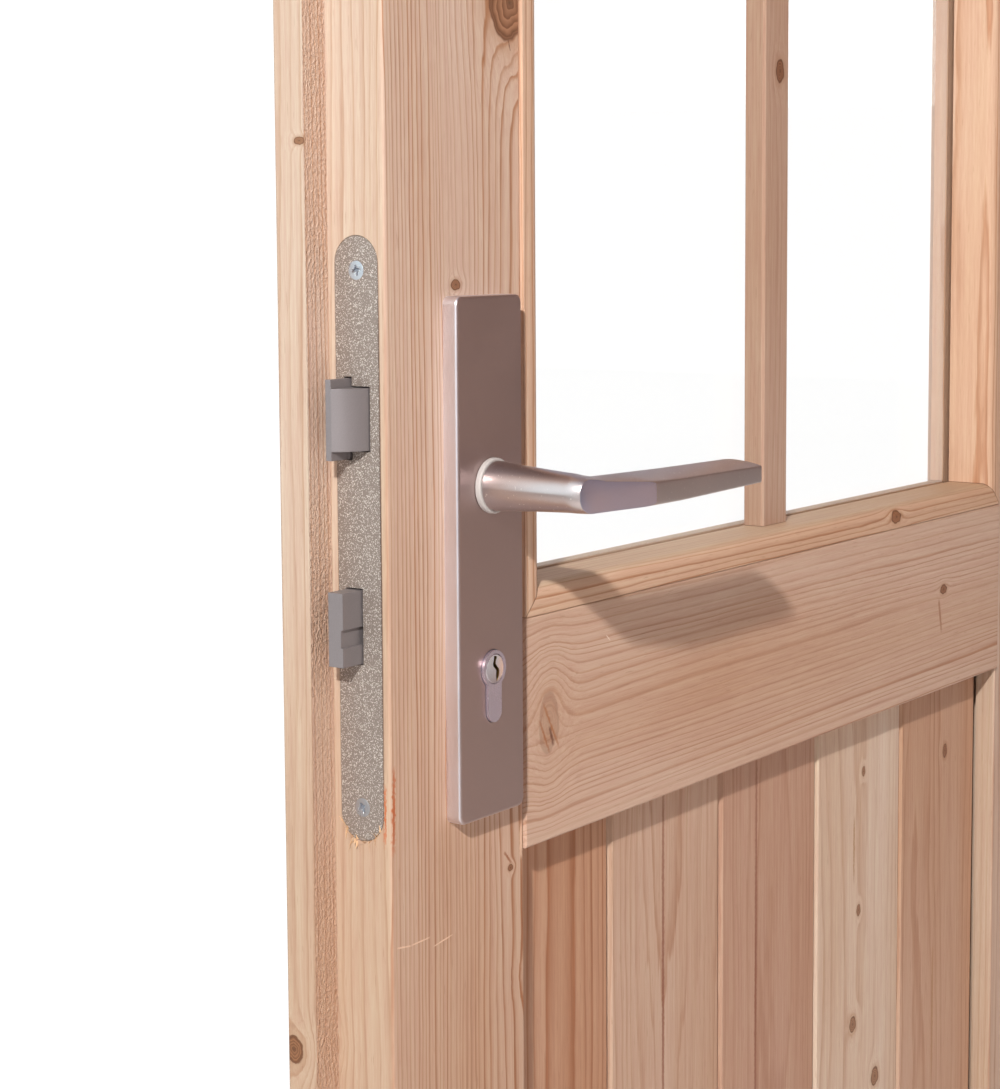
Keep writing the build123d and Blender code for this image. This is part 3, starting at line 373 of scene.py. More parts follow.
def timber(name, grain, pith, seed, ring=3.0, contrast=0.92, tone=0.0, wobble=10.0, knots=(),
           marks=(), tint=None, edge=EDGE_PAINTED_LIGHT, edge_axis=None, opening=None, milled=False, foot=None):
    """Material of one length of spruce: its grain direction and pith in the row frame."""
    settings = bpy.context.scene.door_timber
    material, graph, shader = new_material(name)
    place = graph.place_mm()
    distance, shift, shown = NO_KNOT, (0.0, 0.0, 0.0), 1.0
    for centre, radius, tall, show, way in knots:
        branch = Vector(way).normalized()
        across = GRAIN[grain].cross(branch).normalized()
        stretch = Vector((1, 1, 1)) + GRAIN[grain] * (1 / tall - 1)
        out = graph.group(knot_group(), Place=place, Centre=centre, Along=branch, Across=across,
                          Radius=radius, Before=distance, Show=show, Shown=shown, Shift=shift,
                          Stretch=stretch)
        distance, shift, shown = out["Distance"], out["Shift"], out["Shown"]
    axes = graph.split(graph.vector("ADD", place, shift))

    def in_log(way, heart):
        first, second, along = (axes[n] for n in ORDER[way])
        return graph.join(graph.minus(first, heart[0]), graph.minus(second, heart[1]), along)

    # Mitred lengths round an opening: beyond the mitre line the wood runs upright
    here = in_log(grain, pith)
    if opening:
        side, low, high, upright_pith = opening
        runs = graph.math("MINIMUM", graph.minus(axes[side], low[0]), graph.minus(high[0], axes[side]))
        rises = graph.math("MINIMUM", graph.minus(axes[2], low[1]), graph.minus(high[1], axes[2]))
        mitre = graph.minus(rises, runs)
        here = graph.mix(graph.math("GREATER_THAN", mitre, 0.0), here, in_log("Z", upright_pith))
        seam = graph.span(graph.math("ABSOLUTE", mitre), 0.55, 0.25)
    facing = graph.facing()
    narrow = facing[EDGE_AXIS[grain] if edge_axis is None else edge_axis]
    sideways = graph.span(graph.math("ABSOLUTE", narrow), 0.6, 0.9)
    out = graph.group(
        spruce_group(), Place=here, Seed=seed, Ring=ring * settings.ring_scale,
        Contrast=graph.span(sideways, 0.0, 1.0, contrast, EDGE_CONTRAST * contrast),
        Tone=tone, Wobble=wobble, Knot=distance, Shown=shown,
        Pale=(*settings.pale, 1), Deep=(*settings.deep, 1), Late=(*settings.late, 1))
    color, height = out["Color"], out["Height"]
    if tint:
        color = graph.vector("MULTIPLY", color, tint)
    if foot:
        low = graph.span(axes[2], *FOOT_FADE, smooth=True)
        color = graph.mix(low, color, graph.vector("MULTIPLY", color, foot))
    # Painted light and shade: faces that look sideways take the edge colour, standing for how the key light
    # falls on them
    color = graph.mix(sideways, color, graph.vector("MULTIPLY", color, edge))
    if opening:
        color = graph.mix(graph.times(seam, 0.6), color, SEAM_COLOR)
    for mark in marks:
        color = streak(graph, place, color, *mark)
    if milled:
        torn = torn_fibres(graph, place, facing)
        color = graph.mix(graph.times(torn, 0.5), color, TORN_COLOR)
        height = graph.minus(height, graph.times(torn, 6.0))
    graph.set(shader, Base_Color=color, Roughness=out["Roughness"], Specular_IOR_Level=0.35,
              Normal=graph.rounded(TIMBER_ROUND, height, 0.4, TIMBER_RELIEF))
    return material


def streak(graph, place, color, start, end, width, shade, ragged):
    """A streak that tapers to both ends, over the wood's colour."""
    line = Vector(end) - Vector(start)
    length = line.length
    way = tuple(line.normalized())
    away = graph.vector("SUBTRACT", place, start)
    along = graph.vector("DOT_PRODUCT", away, way)
    side = graph.vector("SUBTRACT", away, graph.vector("SCALE", way, scale=along))
    torn = graph.noise(graph.vector("MULTIPLY", place, (1.1, 1.1, 0.45)), detail=3.0)
    side = graph.plus(graph.vector("LENGTH", side), graph.span(torn, 0.25, 0.75, -ragged, ragged))
    body = graph.ramp(graph.math("DIVIDE", along, length),
                      [(0.0, 0.0), (0.12, 0.75), (0.5, 1.0), (0.85, 0.7), (1.0, 0.0)])
    mask = graph.times(graph.span(side, width, width * 0.35, smooth=True), body)
    return graph.mix(graph.times(mask, 0.9), color, shade)


MILLED_HEIGHTS = (700.0, 1200.0)
MILLED_ZONES = [(0.05, 0.3), (0.12, 1.0), (0.26, 1.0), (0.31, 0.3), (0.42, 0.3), (0.46, 1.0),
                (0.58, 1.0), (0.64, 0.2), (0.76, 0.2), (0.82, 1.0)]


def torn_fibres(graph, place, facing):
    """Torn fibres that the cutter left on the face of the rebate behind the forend."""
    _, y, z = graph.split(place)
    chips = graph.noise(graph.vector("MULTIPLY", place, (0.72, 0.72, 0.45)), roughness=0.6)
    zone = graph.ramp(graph.span(z, *MILLED_HEIGHTS), MILLED_ZONES)
    past_edge = graph.span(y, MEETING_EDGE + 0.2, MEETING_EDGE - 0.4)
    strip = graph.times(past_edge, graph.span(facing[0], 0.7, 0.95))
    return graph.times(graph.times(strip, zone), graph.span(chips, 0.35, 0.65))


# Other surfaces


METAL_RELIEF = 0.00004
GLINT = (0.92, 0.88, 0.83)


def metal(name, color, roughness, grain_scale=2.2, speck=0.0, speck_scale=2.3, rare=0.5, metallic=1.0,
          dish=None, edge=0.0005, side=None):
    """Satin metal: a fine blasted surface with slight handling marks and rounded edges."""
    material, graph, shader = new_material(name)
    place = graph.place_mm()
    grain = graph.noise(place, grain_scale, detail=3.0, roughness=0.6)
    marks = graph.noise(place, 0.035, 3.0)
    low = tuple(channel * 0.95 for channel in color)
    high = tuple(min(1.0, channel * 1.05) for channel in color)
    shade = graph.mix(graph.span(grain, 0.3, 0.7), low, high)
    if speck:
        spot = graph.span(graph.noise(place, speck_scale, detail=0.0), rare, rare + 0.05)
        shade = graph.mix(graph.times(spot, speck), shade, GLINT)
    # Painted reflection: faces that do not look along row X take the side colour, a brighter sheen
    if side:
        sideways = graph.span(graph.math("ABSOLUTE", graph.facing()[0]), 0.75, 0.35)
        shade = graph.mix(sideways, shade, side)
    rough = graph.plus(graph.span(marks, 0.3, 0.7, -0.04, 0.04), graph.span(grain, 0.2, 0.8, -0.02, 0.02))
    normal = graph.rounded(edge, grain, 0.25, METAL_RELIEF)
    if dish:
        centre, bend = dish
        away = graph.vector("MULTIPLY", graph.vector("SUBTRACT", place, centre), (0.0, 1.0, 1.0))
        bowl = graph.times(graph.vector("DOT_PRODUCT", away, away), bend * MM)
        normal = graph.node("ShaderNodeBump", {"Height": bowl, "Strength": 1.0, "Distance": 1.0,
                                               "Normal": normal}).outputs[0]
    graph.set(shader, Base_Color=shade, Roughness=graph.plus(rough, roughness), Metallic=metallic,
              Normal=normal)
    return material


def plastic(name, color, roughness):
    """Moulded plastic with a faint texture."""
    material, graph, shader = new_material(name)
    grain = graph.noise(graph.place_mm(), 1.8)
    low = tuple(channel * 0.94 for channel in color)
    graph.set(shader, Base_Color=graph.mix(grain, low, color),
              Roughness=graph.span(grain, 0.2, 0.8, roughness - 0.05, roughness + 0.05),
              Normal=graph.rounded(0.0004, grain, 0.2, 0.00005))
    return material


def clear_glass():
    """Float glass with a breath of dust."""
    material, graph, shader = new_material("clear_glass")
    dust = graph.noise(graph.place_mm(), 0.004, 3.0)
    graph.set(shader, Base_Color=(0.97, 1.0, 0.99, 1.0), Roughness=graph.span(dust, 0.3, 0.8, 0.0, 0.03),
              Transmission_Weight=1.0, IOR=1.45, Alpha=0.16)
    return material


def splinter_wood():
    """Fresh pale splinters lifted round the forend's recess."""
    material, graph, shader = new_material("splinter_wood")
    grain = graph.noise(graph.vector("MULTIPLY", graph.place_mm(), (2.0, 2.0, 0.6)))
    graph.set(shader, Base_Color=graph.mix(grain, (0.84, 0.62, 0.42), (0.62, 0.36, 0.18)),
              Roughness=0.7, Specular_IOR_Level=0.2)
    return material


def dress(material, *names):
    """Give CAD nodes a finish in place of the plain one."""
    for name in names:
        NODES[name].material_slots[0].material = material


def dress_timber(node, *looks, **more_looks):
    """Give one length of timber a wood of its own."""
    dress(timber(f"{node.removeprefix('active_')}_wood", *looks, **more_looks), node)


# Meshes


SMOOTH_TO = math.radians(32)


def add_object(name, data):
    """An object in the scene that holds a mesh, a lamp or a camera."""
    made = bpy.data.objects.new(name, data)
    bpy.context.collection.objects.link(made)
    return made


def finish_piece(bm, name, material, body, slot, *nodes):
    """Turn a bmesh into a piece that rides on a body and stands for CAD nodes."""
    bmesh.ops.recalc_face_normals(bm, faces=bm.faces)
    mesh = bpy.data.meshes.new(name)
    bm.to_mesh(mesh)
    bm.free()
    for face in mesh.polygons:
        face.use_smooth = True
    mesh.set_sharp_from_angle(angle=SMOOTH_TO)
    mesh.materials.append(material)
    piece = add_object(name, mesh)
    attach(piece, body)
    if nodes:
        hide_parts(*nodes)
    return piece


def bridge(bm, first, second):
    """Join two rings of vertices with a band of faces."""
    count = len(first)
    return [bm.faces.new((first[n], first[(n + 1) % count], second[(n + 1) % count], second[n]))
            for n in range(count)]


def tube(bm, rings):
    """Bands of faces from ring to ring, closed at both ends."""
    for first, second in zip(rings, rings[1:]):
        bridge(bm, first, second)
    for end in (rings[0], rings[-1]):
        bm.faces.new(end)


CORNER_STEPS = 9


def rounded_outline(back, front, foot, front_ridge, back_ridge, rounding):
    """Points (across, up) of the lever's outline, its four corners rounded."""
    corners = [Vector(corner) for corner in ((back, foot), (-front, foot), (-front, front_ridge),
                                             (back, back_ridge))]
    outline = []
    for n, corner in enumerate(corners):
        before = (corners[n - 1] - corner).normalized()
        after = (corners[(n + 1) % 4] - corner).normalized()
        half = before.angle(after) / 2
        centre = corner + (before + after).normalized() * (rounding / math.sin(half))
        first = corner + before * (rounding / math.tan(half)) - centre
        last = corner + after * (rounding / math.tan(half)) - centre
        sweep = first.angle(last)
        for k in range(CORNER_STEPS):
            turn = sweep * k / (CORNER_STEPS - 1)
            spoke = first * math.sin(sweep - turn) + last * math.sin(turn)
            outline.append(centre + spoke / math.sin(sweep))
    return outline


# The lever in leaf millimetres. The neck's rows are reach, radius and sag. The grip's rows are reach
# from the bend, then the outline: back, front, foot, front ridge, back ridge and corner rounding.
PLATE_FACE = 8.3
ROOT_RADIUS = 9.0
NECK_ROOT = 11.3
NECK_SHOULDER = 11.1
NECK_RADII = ((0.0, 11.4, 0.0), (20.0, 9.9, 0.4), (41.7, 8.7, 0.8))
NECK_STEPS = 14
LEVER_AXIS = 62.0
LEVER_BEND = 9.0
BEND_STEPS = 18
GRIP = ((0.0, (7.6, 8.0, -9.3, 2.4, 7.0, 2.4)), (55.0, (6.5, 8.0, -9.1, 0.9, 5.2, 1.0)),
        (127.0, (6.5, 8.0, -7.7, 0.5, 4.2, 1.0)))
TIP_ROUND = 12.0
TIP_START = GRIP[-1][0] - TIP_ROUND
FACET = ((55.5, -60.2), (106.0, -70.0))
FACET_EDGE = 0.00035


def through(points, place):
    """Values of a smooth curve through three points."""
    values = [0.0] * (len(points[0]) - 1)
    for n, (x, *wanted) in enumerate(points):
        weight = 1.0
        for m, other in enumerate(points):
            if m != n:
                weight *= (place - other[0]) / (x - other[0])
        values = [value + weight * part for value, part in zip(values, wanted)]
    return values


def between(first, last, share):
    """Sizes part of the way from one outline to another."""
    return [a + (b - a) * share for a, b in zip(first, last)]


def grip_sizes(reach):
    """Outline of the grip at a distance from the bend."""
    for (start, small), (end, large) in zip(GRIP, GRIP[1:]):
        if reach <= end:
            return between(small, large, (reach - start) / (end - start))
    return list(GRIP[-1][1])


def lever_rings():
    """Rings of leaf points from the plate to the grip's tip."""
    rings = []

    def round_ring(reach, radius, sag=0.0):
        outline = rounded_outline(radius, radius, -radius, radius, radius, radius * 0.985)
        rings.append([(BACKSET + across, -reach, up - sag) for across, up in outline])

    round_ring(PLATE_FACE, ROOT_RADIUS)
    round_ring(NECK_ROOT - 0.05, ROOT_RADIUS)
    round_ring(NECK_ROOT - 0.05, NECK_SHOULDER)
    for step in range(NECK_STEPS + 1):
        reach = NECK_RADII[-1][0] * step / NECK_STEPS
        round_ring(NECK_ROOT + reach, *through(NECK_RADII, reach))
    _, full, sag = NECK_RADII[-1]
    low = full + sag
    start = (full, full, -low, low - 1.6, low - 1.6, full * 0.97)
    for step in range(1, BEND_STEPS + 1):
        share = step / BEND_STEPS
        angle = share * math.pi / 2
        along = BACKSET + LEVER_BEND * (1 - math.cos(angle))
        out = -LEVER_AXIS + LEVER_BEND * (1 - math.sin(angle))
        rings.append([(along + across * math.cos(angle), out + across * math.sin(angle), up)
                      for across, up in rounded_outline(*between(start, GRIP[0][1], share))])
    straight = [*range(8, 55, 8), 55.0, 68.0, 80.0, 92.0, 104.0, TIP_START]
    tip = [TIP_START + TIP_ROUND * math.sin(math.radians(turn)) for turn in range(10, 91, 8)]
    for reach in straight + tip:
        back, front, foot, front_ridge, back_ridge, rounding = grip_sizes(reach)
        cut = max(0.0, reach - TIP_START)
        new_back = back - TIP_ROUND + math.sqrt(max(TIP_ROUND ** 2 - cut ** 2, 0.0))
        back_ridge = front_ridge + (back_ridge - front_ridge) * (new_back + front) / (back + front)
        outline = rounded_outline(new_back, front, foot, front_ridge, back_ridge, rounding)
        rings.append([(BACKSET + LEVER_BEND + reach, -LEVER_AXIS + across, up) for across, up in outline])
    return rings


def lever_mesh(outside):
    """One lever, its neck, bend and grip in one skin, with the flat cut on the bend."""
    def placed(x, y, z):
        return leaf_point(x, 2 * LEAF_MIDDLE - y if outside else y, z)

    bm = bmesh.new()
    tube(bm, [[bm.verts.new(placed(*point)) for point in ring] for ring in lever_rings()])
    (x0, y0), (x1, y1) = FACET
    cut_start = placed(x0, y0, 0)
    run = placed(x1, y1, 0) - cut_start
    away = Vector((run.y, -run.x, 0)).normalized()
    if away.dot(placed(x0, y0 - 10, 0) - cut_start) < 0:
        away.negate()
    bmesh.ops.recalc_face_normals(bm, faces=bm.faces)
    made = bmesh.ops.bisect_plane(bm, geom=bm.verts[:] + bm.edges[:] + bm.faces[:], dist=1e-6,
                                  plane_co=cut_start, plane_no=away, clear_outer=True)
    rim = [part for part in made["geom_cut"] if isinstance(part, bmesh.types.BMEdge)]
    for face in bmesh.ops.edgeloop_fill(bm, edges=rim)["faces"]:
        face.material_index = 1
    rim = [edge for edge in rim if edge.is_valid and edge.is_manifold and edge.calc_face_angle() > 0.12]
    bmesh.ops.bevel(bm, geom=rim, offset=FACET_EDGE, segments=2, profile=0.5, affect="EDGES",
                    clamp_overlap=True)
    return bm


ROUND_STEPS = 40


def circle(radius):
    """Points of a circle."""
    turns = [2 * math.pi * n / ROUND_STEPS for n in range(ROUND_STEPS)]
    return [(radius * math.cos(turn), radius * math.sin(turn)) for turn in turns]


def ring_at(bm, turn_to, outline, depth):
    """Vertices of an outline in mm, at a depth, placed by turn_to(across, up, depth)."""
    return [bm.verts.new(turn_to(u, v, depth)) for u, v in outline]


def disc(bm, turn_to, outline, hole, depth, taper, length):
    """A round end with a tapering pocket cut in it, and the rim's wall behind."""
    rim = ring_at(bm, turn_to, outline, 0.0)
    mouth = ring_at(bm, turn_to, hole, 0.0)
    loops = []
    for ring in (rim, mouth):
        loops += [bm.edges.new((ring[n - 1], ring[n])) for n in range(len(ring))]
    bmesh.ops.triangle_fill(bm, use_beauty=True, use_dissolve=False, edges=loops)
    middle = sum((Vector(point) for point in hole), Vector((0, 0))) / len(hole)
    small = [middle + (Vector(point) - middle) * taper for point in hole]
    floor = ring_at(bm, turn_to, small, depth)
    pocket = bridge(bm, mouth, floor) + [bm.faces.new(floor)]
    root = ring_at(bm, turn_to, outline, length)
    bridge(bm, rim, root)
    return root, pocket


def cross_recess(radius):
    """Outline of a cross recess in a screw head."""
    arm, waist = radius * 0.56, radius * 0.13
    points = []
    for turn in range(4):
        along = Vector((math.cos(turn * math.pi / 2), math.sin(turn * math.pi / 2)))
        side = Vector((-along.y, along.x))
        points += [along * arm - side * waist, along * arm + side * waist, (along + side) * waist * 1.5]
    return [tuple(point) for point in points]


def loose_boxes(name):
    """Lowest and highest corner of every separate solid of a node."""
    bm = bmesh.new()
    bm.from_mesh(NODES[name].data)
    bmesh.ops.remove_doubles(bm, verts=bm.verts, dist=1e-6)
    left = set(bm.verts)
    boxes = []
    while left:
        todo, island = [left.pop()], []
        while todo:
            vert = todo.pop()
            island.append(vert.co.copy())
            for edge in vert.link_edges:
                other = edge.other_vert(vert)
                if other in left:
                    left.discard(other)
                    todo.append(other)
        boxes.append((Vector(min(c[i] for c in island) for i in range(3)),
                      Vector(max(c[i] for c in island) for i in range(3))))
    bm.free()
    return sorted(boxes, key=lambda box: tuple(box[0]))


def cross_screws(name, node, body, out, material):
    """Countersunk cross-recess screws in place of the plain ones, heads towards `out`."""
    out = Vector(out)
    first = Vector((0, 0, 1)) if abs(out.z) < 0.5 else Vector((1, 0, 0))
    second = out.cross(first)
    bm = bmesh.new()
    for turn, (low, high) in enumerate(loose_boxes(node)):
        half = (high - low) / 2
        reach = abs(half.dot(out))
        radius = abs(half.dot(first)) / MM
        shank, end = radius * 0.5, 2 * reach / MM
        head = (low + high) / 2 + out * reach
        spin = Matrix.Rotation(0.5 + 1.3 * turn, 3, out)

        def turn_to(u, v, inward, head=head, spin=spin):
            return head + spin @ ((first * u + second * v) * MM) - out * (inward * MM)

        ring, _ = disc(bm, turn_to, circle(radius), cross_recess(radius), radius * 0.5, 0.45, 0.35)
        for inward, width in ((radius * 0.6, shank), (end - radius * 0.5, shank), (end, radius * 0.2)):
            further = ring_at(bm, turn_to, circle(width), inward)
            bridge(bm, ring, further)
            ring = further
        bm.faces.new(ring)
    return finish_piece(bm, name, material, body, "zinc_steel", node)


# The cylinder's plug: row X of both ends, row Y and Z of its axis, and outlines across and up
PLUG_ENDS = (-715.0, -782.0)
PLUG_CENTRE = (-751.5, 921.5)
PLUG_RADIUS = 6.8
PLUG_CHAMFER = 0.35
KEYWAY_DEPTH = 7.0
KEYWAY = ((-0.6, 5.9), (-0.9, 4.3), (-1.6, 2.5), (-1.3, 1.2), (0.0, 0.2), (0.9, -0.9), (0.7, -3.0),
          (1.0, -5.7), (1.9, -5.5), (2.9, -3.6), (3.3, -1.3), (2.8, -0.2), (1.6, 0.9), (0.5, 2.2),
          (0.6, 3.6), (1.4, 4.9), (1.1, 5.8))
CAM = ((-4.0, -4.5), (-2.5, -12.0), (-1.2, -13.2), (1.2, -13.2), (2.5, -12.0), (4.0, -4.5))
CAM_ENDS = (-753.0, -744.0)


def plug_mesh():
    """The cylinder's turning core, with a crooked keyway in both its ends and the cam between."""
    bm = bmesh.new()
    roots = []
    for face_x, inward in zip(PLUG_ENDS, (-1, 1)):
        def turn_to(u, v, depth, face_x=face_x, inward=inward):
            return Vector((face_x + inward * depth, PLUG_CENTRE[0] - inward * u, PLUG_CENTRE[1] + v)) * MM

        rim = circle(PLUG_RADIUS - PLUG_CHAMFER)
        root, pocket = disc(bm, turn_to, rim, KEYWAY, KEYWAY_DEPTH, 0.9, 0.02)
        for face in pocket:
            face.material_index = 1
        shoulder = ring_at(bm, turn_to, circle(PLUG_RADIUS - 0.12), PLUG_CHAMFER)
        bridge(bm, root, shoulder)
        roots.append(shoulder)
    half = ROUND_STEPS // 2
    bridge(bm, roots[0], [roots[1][(half - n) % ROUND_STEPS] for n in range(ROUND_STEPS)])
    tube(bm, [[bm.verts.new(Vector((x, PLUG_CENTRE[0] + u, PLUG_CENTRE[1] + v)) * MM) for u, v in CAM]
              for x in CAM_ENDS])
    return bm


SPLINTERS = 26
SPLINTER_STEPS = 3
FOREND_END = Vector((-0.1, 15.5, -140.5))
FOREND_ROUND = 12.2


def splinter_mesh(rng):
    """Thin curled splinters round the lower end of the forend."""
    bm = bmesh.new()
    for _ in range(SPLINTERS):
        turn = math.radians(rng.uniform(-150, -15))
        across = FOREND_ROUND + rng.uniform(-0.5, 0.6)
        base = FOREND_END + Vector((0.0, across * math.cos(turn), across * math.sin(turn)))
        length = rng.uniform(2.0, 5.5)
        width = rng.uniform(0.25, 0.7)
        lean = Vector((rng.uniform(-0.22, -0.08), rng.uniform(-0.9, 0.9), rng.uniform(-1.0, 0.4)))
        lean.normalize()
        side = lean.cross(Vector((0.3, 0.2, 1.0))).normalized() * width
        curl = Vector((-0.12, rng.uniform(-0.5, 0.5), rng.uniform(-0.6, 0.6)))
        rings = []
        for step in range(SPLINTER_STEPS + 1):
            share = step / SPLINTER_STEPS
            spine = base + lean * length * share + curl * length * share * share * 0.5
            thick = side * (1.0 - 0.85 * share)
            lift = Vector((0.12, 0.0, 0.0)) * (1.0 - 0.85 * share)
            rings.append([bm.verts.new(leaf_point(*point)) for point in
                          (spine - thick, spine + lift, spine + thick, spine - lift)])
        tube(bm, rings)
    return bm


# Settings shown in the panel


def color_setting(name, description, default):
    """A colour that the panel shows."""
    return FloatVectorProperty(name=name, description=description, subtype="COLOR", size=3, min=0.0,
                               max=1.0, default=default)


class DoorTimber(bpy.types.PropertyGroup):
    """Colours and scale of the spruce."""
    pale: color_setting("Pale wood", "Colour of the early wood", (0.735, 0.54, 0.425))
    deep: color_setting("Deep wood", "Colour of the darker parts of a board", (0.63, 0.40, 0.27))
    late: color_setting("Late wood", "Colour of the dark line of each ring", (0.44, 0.195, 0.095))
    ring_scale: FloatProperty(name="Ring scale", description="Width of the growth rings against life",
                              min=0.3, max=3.0, default=1.0, subtype="FACTOR")


class DoorHardware(bpy.types.PropertyGroup):
    """Colours of the lock, levers and fittings."""
    plate: color_setting("Plate", "Satin metal of the long plates", (0.49, 0.39, 0.38))
    lever: color_setting("Lever", "Satin metal of the levers", (0.60, 0.53, 0.525))
    forend: color_setting("Forend", "Paint of the forend and the strike", (0.275, 0.23, 0.205))
    bolt: color_setting("Bolts", "Grey of the latch and the deadbolt", (0.27, 0.245, 0.255))


class DoorStage(bpy.types.PropertyGroup):
    """Light, floor and camera."""
    key_power: FloatProperty(name="Key light", description="Power of the key light", min=0.0, max=2000.0,
                             default=98.0, subtype="POWER")
    fill_power: FloatProperty(name="Fill light", description="Power of the soft light behind the door",
                              min=0.0, max=2000.0, default=55.0, subtype="POWER")
    surround: FloatProperty(name="Surround", description="Strength of the light from all round",
                            min=0.0, max=4.0, default=0.34, subtype="FACTOR")
    camera_turn: FloatProperty(name="Camera turn", description="Way the camera faces, from the outside",
                               min=-3.15, max=3.15, default=math.radians(36.0546), subtype="ANGLE",
                               unit="ROTATION")
    pitch: FloatProperty(name="Pitch", description="How far the camera looks down", min=0.0, max=0.5,
                         default=math.radians(5.3556), subtype="ANGLE", unit="ROTATION")
    roll: FloatProperty(name="Roll", description="How far the camera leans to its side", min=-0.2, max=0.2,
                        default=math.radians(-0.3694), subtype="ANGLE", unit="ROTATION")
    lens: FloatProperty(name="Lens", description="Focal length in millimetres", min=20.0, max=300.0,
                        default=74.95)


# Operators


RESIN = (0.52, 0.125, 0.035)
FRESH = (0.86, 0.62, 0.46)
PALE_CUT = (0.84, 0.70, 0.60)
BROWN = (0.17, 0.07, 0.04)
# Painted shade for the gap beside the forend
FOREND_GAP_SHADE = (0.09, 0.045, 0.03)
RUST = (0.34, 0.12, 0.05)
BEAD_NICK = (0.16, 0.06, 0.03)
DARK_HEART = (0.16, 0.055, 0.03)
BOARD_SHADE = (0.24, 0.085, 0.05)
BOARD_LINE = (0.30, 0.11, 0.065)
TAN_LINE = (0.48, 0.26, 0.14)


